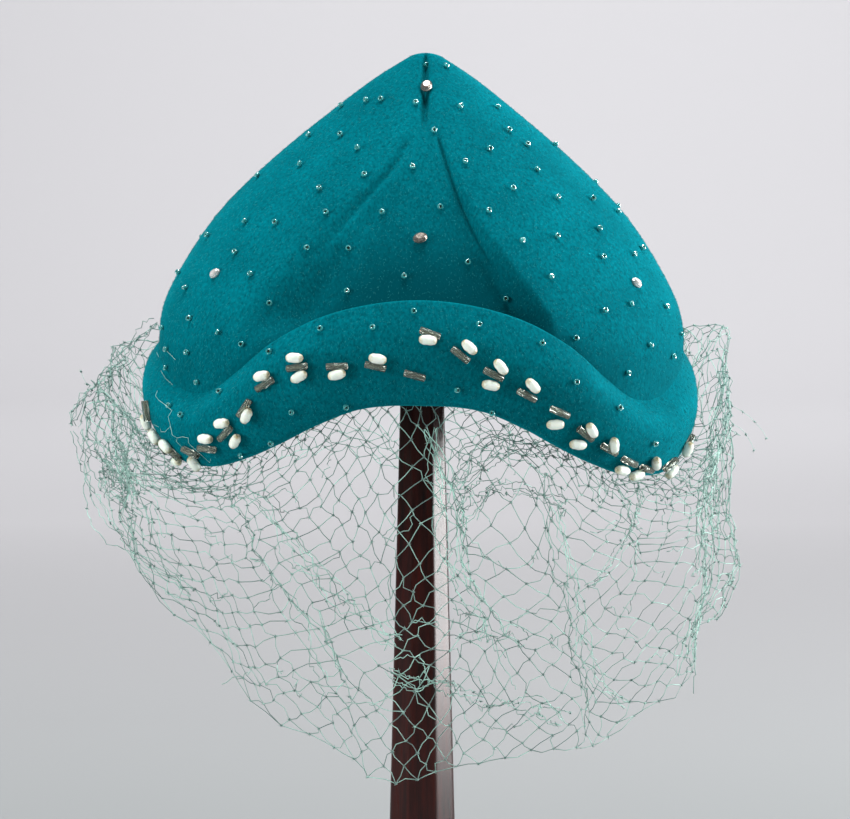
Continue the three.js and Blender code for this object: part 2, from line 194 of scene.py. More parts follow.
# Softboxes: place and width in metres, power in watts, the point that each faces, and rays that miss it.
# The card is small and bright, and only shows in the varnish and the beads. The last two are kept out of
# reflections, so that the varnish before and left of them stays dark.
HAT_MIDDLE = (0, 0, 0.22)
WALL_MIDDLE = (0, 4.0, 1.0)
SOFTBOXES = {
    "right_softbox": ((1.3, 0.02, 0.3), 1.25, 47, HAT_MIDDLE, ()),
    "top_softbox": ((0, 0, 1.7), 1.0, 29, HAT_MIDDLE, ()),
    "wall_softbox": ((0.4, 2.4, 2.2), 2.0, 52, WALL_MIDDLE, ()),
    "right_card": ((0.9, 0.02, 0.18), 0.36, 6, HAT_MIDDLE, ("visible_diffuse",)),
    "left_softbox": ((-1.25, -0.6, 0.36), 1.0, 20, HAT_MIDDLE, ("visible_glossy",)),
    "front_fill": ((0, -1.1, 0.1), 0.8, 1.6, HAT_MIDDLE, ("visible_glossy",)),
}
AIR_STRENGTH = 0.15

# The photograph's frame in pixels, for places that are read from it.
PHOTO_WIDTH = 850
PHOTO_HEIGHT = 819


def table(columns, rows):
    """A short table as one array for each named column."""
    return dict(zip(columns.split(), np.array(rows, float).T))


# Level sections of the crown by height: reach to the sides, the front and the back, fullness, and how far
# the tucks lie from the middle.
CROWN = table("height side front back fullness tuck_left tuck_right", [
    (0, 84, 75, 106, 2.2, 50, 44),
    (20, 86.5, 76, 108, 2.2, 48, 40),
    (40, 88.8, 75, 108.5, 2.2, 45, 36),
    (52, 87.4, 71.5, 106.5, 2.1, 43, 31),
    (68, 79.6, 63.5, 101, 2.05, 35, 22),
    (86, 66.9, 51.5, 89, 2, 22, 13),
    (103, 49.6, 38.5, 70, 1.9, 8, 7),
    (118, 31.6, 25, 46, 1.85, 3, 3),
    (130, 16, 13, 22, 1.8, 1, 1),
    (137, 5, 4.5, 5.5, 2, 0, 0),
])

# The cuff by angle: the height of its fold, its own height, and how far it bulges and leans out.
CUFF = table("angle fold height bulge lean", [
    (0, 23.5, 34.2, 3, 7),
    (15, 21.8, 33.7, 3, 7),
    (26, 15.8, 34.8, 3.5, 6.4),
    (35, 9.6, 33.4, 4, 5),
    (44, 4.4, 28.6, 4.5, 3.2),
    (55, 0.5, 24.6, 5, 1.5),
    (66, 1, 24.3, 5.2, 0.6),
    (77, 4.4, 27, 5, 0.3),
    (90, 9.5, 27, 5, 0.3),
    (120, 24, 21, 4.5, 0.3),
    (150, 36, 16, 3.5, 0.3),
    (180, 40, 15, 3.5, 0.3),
])

# The veil by angle: its reach out from the crown, the height of its hem, how far it curls in and ruffles,
# how late it falls, and how far it puffs up.
VEIL = table("angle reach hem curl ruffle lateness puff", [
    (0, 6, -100, 10, 3, 1, 0),
    (25, 8, -87, 10, 4, 1, 0),
    (45, 13, -77, 10, 5, 1.1, 2),
    (65, 20, -58, 8, 6, 1.3, 8),
    (90, 26, -38, 6, 6, 1.5, 22),
    (120, 31, -24, 4, 6, 1.7, 26),
    (150, 31, -16, 2, 6, 1.7, 22),
    (180, 30, -12, 2, 6, 1.7, 18),
])

# Folds of the net: the angle where each starts under the cuff, how far round it has moved at the hem, how
# far it bows on the way, the shares of the drop where it begins and ends, how far it draws the threads in,
# its width, and how far it stands out.
NET_FOLDS = table("angle slant bow top bottom pull width rise", [
    (-165, 10, 6, 0.1, 0.9, 6, 8, 3),
    (-138, -12, 8, 0.05, 0.8, 6, 8, -3),
    (-85, 0, 0, 0.1, 0.9, 0, 30, -5),
    (-72, 22, 6, 0.05, 0.8, 2, 7, -1),
    (-50, 58, -4, 0.12, 0.75, 6, 7, 4),
    (-24, 10, 5, 0.5, 0.95, 3, 6, 2),
    (0, 21, 3, 0.03, 0.7, 6, 6, 5),
    (31, 5, -5, 0.15, 0.95, 5, 7, -4),
    (54, -38, 4, 0.08, 0.5, 4, 6, 3),
    (128, -8, 6, 0.1, 0.9, 5, 8, 3),
    (154, 10, -6, 0.05, 0.9, 5, 8, -3),
])

# Slow waves of the net: whole turns round the hat, turns from the cuff to the hem, phase, and how far each
# moves the knots round, in degrees, and down and out.
NET_WAVES = table("round down phase turn fall out", [
    (3, 1.3, 0.4, 1, 1, 2),
    (5, -1.7, 1.9, 0.8, 1, 1.6),
    (8, 2.2, 3.3, 0.5, 0.8, 1.3),
    (11, -2.6, 5.1, 0.35, 0.6, 1),
    (17, 3.1, 0.9, 0.25, 0.5, 0.8),
])

# Waves of the hem: whole turns round the hat, phase and height.
HEM_WAVES = table("round phase height", [(7, 1, 3.5), (17, 0, 2.5)])

# Rolls of the net: the angle and the share of the drop at their middle, their half widths in both, and how
# far they lift the knots.
NET_ROLLS = table("angle drop angle_width drop_width lift", [
    (24, 0.2, 12, 0.09, 11),
    (-70, 0.3, 20, 0.1, 4),
    (12, 0.72, 12, 0.07, 6),
    (-72, 1, 20, 0.4, 15),
    (-105, 0.45, 30, 0.3, -8),
    (100, 0.45, 28, 0.3, 6),
])

# Bunches of threads that have run together: how many threads, how light they are, and the pixels across and
# down along the middle of each, with its half width in pixels.
# The darker tones of the bunches are partly painted shade, for bunches that lie in shade, and partly their
# thick, overlapped threads.
NET_BUNCHES = table("bunch threads tone", [
    (0, 5, 0.7), (1, 5, 0.8), (2, 7, 0.15), (3, 4, 0.8), (4, 5, 0.5), (5, 3, 0.4), (6, 5, 0.6),
    (7, 4, 0.2), (8, 2, 0.5), (9, 4, 0.6), (10, 6, 0.3),
])
BUNCH_PATHS = table("bunch across down spread", [
    (0, 243, 492, 16), (0, 274, 524, 16), (0, 298, 556, 15), (0, 327, 590, 14), (0, 362, 618, 12),
    (0, 398, 642, 12),
    (1, 432, 428, 10), (1, 440, 470, 12), (1, 446, 512, 15), (1, 452, 560, 14), (1, 470, 592, 12),
    (1, 483, 616, 10), (1, 480, 640, 9),
    (2, 456, 488, 16), (2, 472, 456, 20), (2, 500, 444, 18), (2, 535, 442, 16), (2, 560, 448, 12),
    (2, 567, 460, 8),
    (3, 556, 505, 8), (3, 572, 560, 10), (3, 574, 610, 12), (3, 582, 650, 12), (3, 600, 684, 10),
    (3, 628, 704, 9),
    (4, 78, 430, 10), (4, 88, 482, 12), (4, 108, 530, 14), (4, 142, 562, 12), (4, 190, 596, 8),
    (5, 108, 468, 12), (5, 150, 482, 14), (5, 200, 486, 12), (5, 246, 490, 12),
    (6, 392, 664, 18), (6, 420, 682, 22), (6, 452, 680, 18), (6, 482, 700, 14),
    (7, 458, 512, 16), (7, 490, 497, 18), (7, 530, 494, 16), (7, 566, 500, 12),
    (8, 642, 488, 7), (8, 634, 520, 7), (8, 612, 556, 6), (8, 592, 586, 6),
    (9, 478, 708, 16), (9, 506, 712, 18), (9, 540, 700, 16), (9, 566, 718, 14),
    (10, 158, 324, 8), (10, 130, 346, 12), (10, 105, 370, 12), (10, 86, 396, 10), (10, 76, 426, 8),
])

# Threads of the net that lie on the felt of the left temple, and loose ends at both sides, by pixel across
# and down. Rows of one number are one thread.
LOBE_THREADS = table("thread across down", [
    (0, 167, 349), (0, 178, 360), (1, 159, 351), (1, 161, 357), (2, 163, 372), (2, 175, 385),
    (3, 159, 392), (3, 160, 401), (3, 174, 412), (3, 172, 426), (3, 179, 437), (3, 190, 437),
    (3, 193, 444), (3, 211, 461), (3, 227, 465), (4, 179, 437), (4, 184, 447), (4, 196, 458),
    (5, 156, 424), (5, 163, 431), (5, 172, 426),
])
LOOSE_THREADS = table("thread across down", [
    (0, 730, 402), (0, 745, 414), (0, 757, 424), (0, 769, 441), (1, 735, 420), (1, 748, 430),
    (1, 756, 446), (2, 90, 392), (2, 80, 384), (2, 74, 371),
])

# Bugle beads on the cuff: angle, share of the cuff's height, and turn from level.
BUGLES = table("angle level turn", [
    (-75, 0.5, -85), (-73, 0.12, -45), (-65, 0.16, -35), (-56.5, 0.23, -20), (-51, 0.24, -3),
    (-45, 0.33, 40), (-39.5, 0.48, 50), (-34.5, 0.59, 30), (-27.5, 0.6, 10), (-19, 0.48, 3),
    (-10.5, 0.41, -12), (-1.5, 0.31, -15), (2, 0.69, -20), (9, 0.52, -38), (16.5, 0.4, -27),
    (24, 0.32, -29), (31.5, 0.31, -24), (38, 0.24, -38), (44.5, 0.21, -28), (51, 0.17, -22),
    (57.5, 0.13, -12), (67.5, 0.16, 31), (76, 0.3, 65),
])

# Two small stones beside the front, by pixel across and down, and their turn from level.
SMALL_STONES = table("across down turn", [(216, 274, 42), (635, 283, -50)])

# Seed beads that the photograph shows, by pixel across and down.
CROWN_SEEDS = table("across down", [
    (424, 66), (446, 68), (416, 104), (460, 107), (497, 108), (367, 101), (382, 100), (342, 107),
    (434, 131), (508, 131), (310, 137), (341, 136), (527, 146), (554, 145), (358, 149), (489, 150),
    (465, 162), (301, 166), (413, 168), (536, 171), (365, 175), (259, 177), (320, 189), (513, 190),
    (557, 199), (592, 200), (440, 207), (617, 212), (382, 212), (326, 213), (246, 222), (276, 224),
    (598, 229), (209, 236), (557, 237), (521, 242), (306, 248), (349, 249), (641, 248), (236, 253),
    (633, 255), (602, 257), (468, 262), (252, 275), (404, 276), (550, 278), (180, 273), (187, 289),
    (348, 292), (508, 298), (269, 303), (630, 304), (665, 307), (604, 311), (191, 319), (164, 328),
    (219, 332), (680, 335), (575, 339), (242, 344), (649, 346), (188, 352), (168, 350), (672, 356),
    (168, 367), (627, 372), (161, 380), (199, 382), (699, 392), (488, 211),
])
CUFF_SEEDS = table("across down", [
    (414, 312), (478, 325), (372, 328), (320, 329), (541, 344), (270, 352), (575, 382), (456, 389),
    (221, 393), (346, 406), (619, 408), (170, 407), (293, 411), (183, 416), (490, 418), (271, 442),
    (653, 443), (697, 445), (241, 454),
])


def linear(code):
    """An sRGB hex colour as linear red, green and blue."""
    srgb = np.array([int(code[i:i + 2], 16) for i in (0, 2, 4)]) / 255
    return tuple(np.where(srgb <= 0.04045, srgb / 12.92, ((srgb + 0.055) / 1.055) ** 2.4))


def colour(name, code, description):
    """A colour setting with an sRGB hex default."""
    return FloatVectorProperty(name=name, description=description, subtype="COLOR", size=3, min=0, max=1,
                               default=linear(code))


def length(name, millimetres, description):
    """A length setting with a default in millimetres."""
    return FloatProperty(name=name, description=description, unit="LENGTH", subtype="DISTANCE", min=0,
                         default=millimetres * MM)


class FeltSettings(bpy.types.PropertyGroup):
    shade: colour("Shade", "004a54", "Colour deep between the felt's fibres")
    tone: colour("Tone", "007986", "Colour of the felt's surface")
    sheen: colour("Sheen", "00aab4", "Colour of the nap where it is seen edge on")
    fibre: colour("Fibre", "46bcbe", "Lightest colour of the loose fibres")
    fibre_length: length("Fibre length", 1.0, "Length of the loose fibres of the nap")
    fibre_width: length("Fibre width", 0.11, "Width of a loose fibre where it leaves the felt")
    fibres: IntProperty(name="Fibres", description="Loose fibres on the crown", default=46000, min=0)


class NetSettings(bpy.types.PropertyGroup):
    dark: colour("Dark thread", "66827c", "Darkest colour of the thread")
    light: colour("Light thread", "b4e2d4", "Lightest colour of the thread")
    thread: length("Thread", 0.28, "Thickness of the thread")
    knot: length("Knot", 2.4, "Length of a knot with its tails")
    columns: IntProperty(name="Columns", description="Meshes round the veil", default=84, min=12)
    wisps: IntProperty(name="Wisps", description="Broken threads that stray from the knots",
                       default=220, min=0)
    rows: IntProperty(name="Rows", description="Half meshes from the cuff to the hem", default=26, min=4)


class TrimSettings(bpy.types.PropertyGroup):
    pearl: colour("Pearl", "f2fbee", "Colour of the rice pearls")
    bugle_length: length("Bugle length", 7.0, "Length of a bugle bead")
    bugle_thickness: length("Bugle thickness", 2.4, "Thickness of a bugle bead")
    seed_size: length("Seed size", 2.0, "Width of a seed bead")
    back_seeds: IntProperty(name="Back seeds", description="Seed beads on the crown's back",
                            default=100, min=0)


class StandSettings(bpy.types.PropertyGroup):
    wood_dark: colour("Dark wood", "150403", "Colour of the wood's pores and dark grain")
    wood_light: colour("Light wood", "3c0d06", "Colour of the wood between the grain lines")


class StageSettings(bpy.types.PropertyGroup):
    # The paper on the floor is given a darker colour than on the wall: painted shade, for the light that
    # falls off towards the bottom of the picture.
    floor: colour("Floor", "989b9c", "Colour of the paper on the floor")
    wall: colour("Wall", "d5d4d7", "Colour of the paper behind the hat")
    distance: FloatProperty(name="Distance", description="From the camera to the post's axis",
                            unit="LENGTH", default=1.5, min=0.5)
    pixel: FloatProperty(name="Pixel", description="Millimetres that a pixel spans at the post's axis",
                         default=0.34, min=0.05)
    elevation: FloatProperty(name="Elevation", description="Angle of the camera above level",
                             unit="ROTATION", default=float(np.radians(4)))
    aim: FloatVectorProperty(name="Aim", description="Point in the middle of the image", unit="LENGTH",
                             subtype="XYZ", default=(0.00096, 0, 0.1921))


class HatSettings(bpy.types.PropertyGroup):
    felt: PointerProperty(type=FeltSettings)
    net: PointerProperty(type=NetSettings)
    trim: PointerProperty(type=TrimSettings)
    stand: PointerProperty(type=StandSettings)
    stage: PointerProperty(type=StageSettings)


def settings():
    """The scene's settings of the hat."""
    return bpy.context.scene.veiled_hat


# Forms of the hat.

def smoothstep(value, low, high):
    """From 0 to 1 between two levels, along a cubic that is level at both."""
    share = np.clip((value - low) / (high - low), 0, 1)
    return share * share * (3 - 2 * share)


def bump(distance, width):
    """A bell curve: 1 at no distance, and the exponential of minus the square of the widths away."""
    return np.exp(-((distance / width) ** 2))


def unit(vectors):
    """Vectors drawn out or in to a length of 1."""
    return vectors / np.linalg.norm(vectors, axis=-1, keepdims=True)


def read(rows, key, at, flat_ends):
    """The other columns of a table at values of its key column.

    Between two rows each column is a cubic. Its slope at a row is the mean of the slopes on both sides, and
    at the table's ends it is level or keeps the slope of the last stretch.
    """
    places = rows[key]
    row = np.clip(np.searchsorted(places, at) - 1, 0, len(places) - 2)
    width = np.diff(places)[row]
    share = (at - places[row]) / width
    rise = share * share * (3 - 2 * share)

    def column(values):
        """One column's cubic."""
        slopes = np.diff(values) / np.diff(places)
        ends = [0, 0] if flat_ends else [slopes[0], slopes[-1]]
        tangents = np.concatenate([ends[:1], (slopes[:-1] + slopes[1:]) / 2, ends[1:]])
        leave = share * (1 - share) ** 2 * width * tangents[row]
        arrive = share * share * (share - 1) * width * tangents[row + 1]
        return (1 - rise) * values[row] + rise * values[row + 1] + leave + arrive

    return SimpleNamespace(**{name: column(values) for name, values in rows.items() if name != key})


def half_angle(angle):
    """How far an angle is from the middle of the face, either way round."""
    turned = np.mod(angle, FULL_TURN)
    return np.minimum(turned, FULL_TURN - turned)


def cuff_at(angle):
    """The cuff at an angle. Its fold dips along a bell curve on the +X side, and its upper edge stays.

    Its hug grows from 0 to 1 where its upper edge is held against the crown, beside and behind the face.
    """
    cuff = read(CUFF, "angle", half_angle(angle), True)
    dip = DIP_DEPTH * bump(np.mod(angle, FULL_TURN) - DIP_ANGLE, DIP_WIDTH)
    cuff.fold, cuff.height = cuff.fold - dip, cuff.height + dip
    cuff.hug = smoothstep(half_angle(angle), *HUG_ANGLES)
    return cuff


def tuck(across, middle, width):
    """A step from 0 to 1 across a tuck."""
    return smoothstep(across, middle - width / 2, middle + width / 2)


def crown_dent(across, height, section, reach):
    """How far the front is set back: the panel steps at each tuck, dart and grooves are bell curves."""
    dart = np.minimum(DART_DEPTH, DART_SHARE * reach) * bump(across, DART_WIDTH)
    dart = dart * smoothstep(height, *DART_ENDS)
    depth = PANEL_DEPTH * (1 - smoothstep(height, *PANEL_END))
    depth = (depth + HOLLOW_DEPTH * (1 - smoothstep(height, *HOLLOW_END))) * smoothstep(height, *PANEL_FOOT)
    # Setting the panel back draws its tucks towards the middle, so they start further out.
    widened = 1 + depth / reach
    left = -section.tuck_left * widened
    right = section.tuck_right * (widened + RIGHT_TUCK_OUT)
    right_width = RIGHT_TUCK_WIDTH + RIGHT_TUCK_SLOPE * depth
    panel = depth * tuck(across, left, LEFT_TUCK_WIDTH) * (1 - tuck(across, right, right_width))
    soft = LEFT_GROOVE_DEPTH * bump(across - left, LEFT_GROOVE_WIDTH)
    sharp = RIGHT_GROOVE_DEPTH * bump(across - right - RIGHT_GROOVE_SHIFT, RIGHT_GROOVE_WIDTH)
    grooves = soft * smoothstep(height, *LEFT_GROOVE_FOOT) + sharp * smoothstep(height, *RIGHT_GROOVE_FOOT)
    return dart + panel + grooves * (1 - smoothstep(height, *GROOVE_END))


def crown_face(angle, height, folded=True):
    """The crown's outer face: level sections that are ovals of two halves.

    The reach at an angle is (|sin / side|^n + |cos / depth|^n)^(-1/n), with n the section's fullness and
    its depth the front's or the back's, less the folds of the front.
    """
    angle, height = np.broadcast_arrays(np.asarray(angle, float), np.asarray(height, float))
    section = read(CROWN, "height", height, False)
    across, ahead = np.sin(np.radians(angle)), np.cos(np.radians(angle))
    depth = np.where(ahead > 0, section.front, section.back)
    powers = np.abs(across / section.side) ** section.fullness + np.abs(ahead / depth) ** section.fullness
    reach = powers ** (-1 / section.fullness)
    if folded:
        reach = reach - np.where(ahead > 0, crown_dent(reach * across, height, section, reach), 0)
    return np.stack([reach * across, -reach * ahead, height], -1)


def beside(angle, height, offset):
    """A point level with the crown's unfolded face, an offset out from it."""
    step = 0.5
    around = crown_face(angle + step, height, False) - crown_face(angle - step, height, False)
    out = unit(np.stack([around[..., 1], -around[..., 0], np.zeros_like(around[..., 0])], -1))
    return crown_face(angle, height, False) + out * np.asarray(offset)[..., None]


def cuff_offset(cuff, share):
    """How far the cuff's inner face stands off the crown: a lean in a line and a bulge in half a sine.

    Where it hugs the crown, its upper edge sinks into the crown's nap.
    """
    pressed_and_painted_shade = cuff.hug * smoothstep(share, *HUG_SHARES)
    leaning = (GAP + cuff.lean * share) * (1 - pressed_and_painted_shade) - HUG_SINK * pressed_and_painted_shade
    return leaning + cuff.bulge * np.sin(np.pi * share)


def cuff_wall(cuff, share):
    """The cuff's thickness: thinner towards its upper edge, most where it hugs the crown."""
    return CUFF_FELT * (1 - (EDGE_THINNING + HUG_THINNING * cuff.hug) * smoothstep(share, *THIN_SHARES))


def cuff_face(angle, share):
    """The cuff's outer face, by angle and share of its height."""
    cuff = cuff_at(angle)
    return beside(angle, cuff.fold + cuff.height * share, cuff_offset(cuff, share) + cuff_wall(cuff, share))


def veil_face(angle, drop):
    """The veil's middle face. Drop 0 is under the cuff, 1 is the hem, -1 is the top of the sewn heading.

    It billows out along a quarter sine, curls back in along a parabola, waves in ruffles round the hat, and
    falls as a power of the drop, less a puff that rises and sinks as a squared sine. Its hem tilts down
    towards +X along a cubed sine, most at the front.
    """
    veil = read(VEIL, "angle", half_angle(angle), True)
    reach = veil.reach - NET_PULL_DEPTH * bump(np.mod(angle, FULL_TURN) - NET_PULL_ANGLE, NET_PULL_WIDTH)
    turn = np.radians(angle)
    start = cuff_at(angle).fold - NET_FOOT
    down = np.clip(drop, 0, 1)
    billow = np.sin(np.pi / 2 * np.minimum(1, down / NET_BELLY_AT))
    curl = veil.curl * np.maximum(0, (down - NET_BELLY_AT) / (1 - NET_BELLY_AT)) ** 2
    ruffle = NET_RUFFLE_SHARE * veil.ruffle * np.cos(RUFFLES * turn) * smoothstep(down, *RUFFLE_STARTS)
    offset = NET_INSET + (reach - NET_INSET) * billow - curl + ruffle
    tilt = HEM_TILT * np.sin(turn) ** 3 * (1 + np.cos(turn)) / 2
    fall = (start - veil.hem + tilt) * down ** veil.lateness
    puff = veil.puff * np.sin(np.pi * smoothstep(down, *PUFF_SPAN)) ** 2
    heading = NET_HEADING * np.clip(-drop, 0, 1)
    points = beside(angle, start + heading, offset)
    points[..., 2] = start + heading - fall + puff
    return points


def slopes(face, first, second, steps):
    """Unit vectors round a face, up it and out of it, from small differences in its two parameters."""
    around = unit(face(first + steps[0], second) - face(first - steps[0], second))
    up = face(first, second + steps[1]) - face(first, second - steps[1])
    out = unit(np.cross(around, up))
    return around, np.cross(out, around), out


def seated(points):
    """Points of the hat on the post: turned about the peak by the hat's lean, and lifted."""
    across, up = points[..., 0], points[..., 2] - PEAK_HEIGHT
    cosine, sine = np.cos(HAT_ROLL), np.sin(HAT_ROLL)
    lifted = up * cosine - across * sine + HAT_LIFT + PEAK_HEIGHT
    return np.stack([across * cosine + up * sine + HAT_SHIFT, points[..., 1], lifted], -1)


def in_photograph(points):
    """Pixels across and down where the stage's camera sees points of the frame, in millimetres."""
    stage = settings().stage
    cosine, sine = np.cos(stage.elevation), np.sin(stage.elevation)
    distance = stage.distance / MM
    focal = distance / stage.pixel
    away = points - np.array(stage.aim) / MM
    depth = distance + away @ np.array([0, cosine, -sine])
    across = PHOTO_WIDTH / 2 + focal * away[..., 0] / depth
    down = PHOTO_HEIGHT / 2 - focal * (away @ np.array([0, sine, cosine])) / depth
    return np.stack([across, down], -1)


# Meshes.

def grid(rows, columns, ring=True, loop=False):
    """Corner numbers of the quads over a grid of points, closed round its rows or columns on request."""
    row = np.arange(rows if loop else rows - 1)[:, None]
    column = np.arange(columns if ring else columns - 1)[None, :]
    below, above = row * columns, (row + 1) % rows * columns
    after = (column + 1) % columns
    corners = np.broadcast_arrays(below + column, below + after, above + after, above + column)
    return np.stack(corners, -1).reshape(-1, 4)


def skin(rings, poles):
    """A closed skin over rings of points, with a fan of triangles to a pole at each end."""
    rows, columns = rings.shape[:2]
    here = np.arange(columns)
    after = (here + 1) % columns
    last = (rows - 1) * columns
    first_pole = np.full(columns, rows * columns)
    first_fan = np.stack([first_pole, after, here], 1)
    last_fan = np.stack([last + here, last + after, first_pole + 1], 1)
    return np.concatenate([rings.reshape(-1, 3), poles]), [grid(rows, columns), first_fan, last_fan]


def hoop(rings):
    """A closed skin over rings of points whose last ring joins the first."""
    rows, columns = rings.shape[:2]
    return rings.reshape(-1, 3), [grid(rows, columns, loop=True)]


def copies(shape, centres, axes):
    """Copies of one small shape: its three coordinates run along each copy's three axes from its centre."""
    points, faces = shape
    placed = centres[:, None] + np.einsum("pk,nkx->npx", points, axes)
    first = np.arange(len(centres))[:, None, None] * len(points)
    return placed.reshape(-1, 3), [(block[None] + first).reshape(-1, block.shape[1]) for block in faces]


def put(name, shape, material, stands_for=(), smooth=True, marks=None):
    """Puts a shape, in millimetres of the frame, into a piece that rides on the body."""
    points, faces = shape
    mesh = bpy.data.meshes.new(name)
    mesh.from_pydata((points * MM).tolist(), [], [face for block in faces for face in block.tolist()])
    mesh.polygons.foreach_set("use_smooth", np.full(len(mesh.polygons), smooth))
    for mark, values in (marks or {}).items():
        mesh.attributes.new(mark, "FLOAT", "POINT").data.foreach_set("value", values)
    mesh.materials.append(material)
    mesh.update()
    piece = bpy.data.objects.new(name, mesh)
    bpy.context.scene.collection.objects.link(piece)
    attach(piece, "root")
    if stands_for:
        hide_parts(*stands_for)


def node_points(name):
    """The corners of a solid of the frame, in millimetres."""
    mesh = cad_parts[name].data
    flat = np.empty(len(mesh.vertices) * 3)
    mesh.vertices.foreach_get("co", flat)
    return flat.reshape(-1, 3) / MM


def node_axes(name):
    """A solid's middle and its long, short and outward axes, from the spread of its corners."""
    points = node_points(name)
    mean = points.mean(0)
    long, _, out = np.linalg.svd(points - mean, full_matrices=False)[2]
    out = out * np.sign(out[:2] @ mean[:2])
    axes = np.stack([long, np.cross(out, long), out])
    reach = (points - mean) @ axes.T
    return mean + (reach.min(0) + reach.max(0)) / 2 @ axes, axes


def node_places(names):
    """Middles and axes of several solids."""
    centres, axes = zip(*[node_axes(name) for name in names])
    return np.array(centres), np.array(axes)


# Materials. A mix node's colours are found by number, because its sockets share their names.

SHADER = "Principled BSDF"
COLOUR_A = 6
COLOUR_B = 7
COLOUR_OUT = 2


def add_node(tree, kind, inputs=None, **fields):
    """Adds a node with its settings, input values and links."""
    made = tree.nodes.new(kind)
    for name, value in fields.items():
        setattr(made, name, value)
    for name, value in (inputs or {}).items():
        if isinstance(value, bpy.types.NodeSocket):
            tree.links.new(value, made.inputs[name])
        else:
            made.inputs[name].default_value = value
    return made


def opaque(rgb):
    """A colour with nothing let through."""
    return (*rgb, 1.0)


def new_material(name, **inputs):
    """A material with a Principled shader, its node tree and its object coordinates."""
    material = bpy.data.materials.new(name)
    material.use_nodes = True
    tree = material.node_tree
    for socket, value in inputs.items():
        tree.nodes[SHADER].inputs[socket.replace("_", " ")].default_value = value
    return material, tree, add_node(tree, "ShaderNodeTexCoord").outputs["Object"]


def feed(tree, socket, output):
    """Links an output to an input of the shader."""
    tree.links.new(output, tree.nodes[SHADER].inputs[socket])


def noise(tree, place, millimetres, detail=3.0, roughness=0.5):
    """Uneven patches from 0 to 1, of about a size in millimetres."""
    scale = 1 / (millimetres * MM)
    return add_node(tree, "ShaderNodeTexNoise", {
        "Vector": place, "Scale": scale, "Detail": detail, "Roughness": roughness}).outputs["Fac"]


def drawn_out(tree, place, share):
    """Coordinates in which a pattern is drawn out upwards, by one over a share."""
    return add_node(tree, "ShaderNodeMapping", {"Vector": place, "Scale": (1, 1, share)}).outputs["Vector"]


def ranged(tree, value, low, high, from_level=0.0, to_level=1.0):
    """A value's way between two bounds as a way between two levels."""
    return add_node(tree, "ShaderNodeMapRange", {
        "Value": value, "From Min": low, "From Max": high,
        "To Min": from_level, "To Max": to_level}).outputs["Result"]


def combined(tree, operation, first, second):
    """The result of an operation of arithmetic."""
    return add_node(tree, "ShaderNodeMath", {0: first, 1: second}, operation=operation).outputs[0]


def marked(tree, mark):
    """The values that a mesh carries under a name."""
    return add_node(tree, "ShaderNodeAttribute", attribute_name=mark).outputs["Fac"]


def tint(tree, share, none, full):
    """Gives the shader a mix of two colours by a share."""
    mixed = add_node(tree, "ShaderNodeMix", {
        0: share, COLOUR_A: opaque(none), COLOUR_B: opaque(full)}, data_type="RGBA")
    feed(tree, "Base Color", mixed.outputs[COLOUR_OUT])


def emboss(tree, height, strength, millimetres):
    """Gives the shader a relief."""
    relief = add_node(tree, "ShaderNodeBump", {
        "Height": height, "Strength": strength, "Distance": millimetres * MM})
    feed(tree, "Normal", relief.outputs["Normal"])


def velour_felt():
    """Wool velour felt, fulled and brushed: deep matt colour, flecked by its fibres, brighter edge on."""
    felt = settings().felt
    material, tree, place = new_material(
        "wool_velour_felt", Roughness=1.0, Specular_IOR_Level=0.02, Sheen_Roughness=0.35,
        Sheen_Tint=opaque(felt.sheen))
    # Fibres are finer than a pixel, so their flecks are drawn about a millimetre long.
    flecks = noise(tree, drawn_out(tree, place, 0.65), 0.9, roughness=0.65)
    fleck_share = ranged(tree, flecks, 0.3, 0.68, 0.1)
    cloud_share = ranged(tree, noise(tree, place, 16), 0.3, 0.7, 0.55)
    share = combined(tree, "MULTIPLY", fleck_share, cloud_share)
    # Painted shade: where the mesh marks it, only the deep colour shows, without sheen.
    unshaded = combined(tree, "SUBTRACT", 1.0, marked(tree, "pressed_and_painted_shade"))
    feed(tree, "Sheen Weight", combined(tree, "MULTIPLY", 0.55, unshaded))
    tint(tree, combined(tree, "MULTIPLY", share, unshaded), felt.shade, felt.tone)
    emboss(tree, flecks, 0.2, 0.3)
    return material


def felt_nap():
    """Loose fibres of the velour: the felt's colour, each a little lighter or darker."""
    felt = settings().felt
    material, tree, _ = new_material(
        "wool_nap_fibre", Roughness=0.9, Specular_IOR_Level=0.05, Sheen_Weight=0.2,
        Sheen_Tint=opaque(felt.sheen))
    tint(tree, marked(tree, "tone"), felt.shade, felt.fibre)
    return material


def net_thread():
    """Spun rayon thread, dyed green: soft lustre, uneven dye from strand to strand."""
    net = settings().net
    material, tree, _ = new_material(
        "rayon_net_thread", Roughness=0.55, Specular_IOR_Level=0.4, Sheen_Weight=0.2)
    tint(tree, marked(tree, "tone"), net.dark, net.light)
    return material


def rice_pearl():
    """Cast resin pearl with a nacre coat: creamy, softly glossy, browner towards its ends, wrinkled."""
    material, tree, place = new_material(
        "resin_rice_pearl", Roughness=0.28, Coat_Weight=0.5, Coat_Roughness=0.12, Subsurface_Weight=0.15,
        Subsurface_Radius=(0.0012, 0.0009, 0.0006))
    scuffs = noise(tree, place, 1.1, 4.0, 0.7)
    browning = combined(tree, "ADD", marked(tree, "end"), scuffs)
    tint(tree, ranged(tree, browning, 1.05, 1.65), settings().trim.pearl, linear("a8945a"))
    emboss(tree, scuffs, 0.5, 0.3)
    return material


def bead_glass(name, body, cast, clearness, roughness):
    """Drawn soda glass, fire polished: part clear, part worn cloudy, its highlights with a cast."""
    return new_material(name, Base_Color=opaque(linear(body)), Specular_Tint=opaque(linear(cast)),
                        Roughness=roughness, IOR=1.35, Transmission_Weight=clearness)[0]


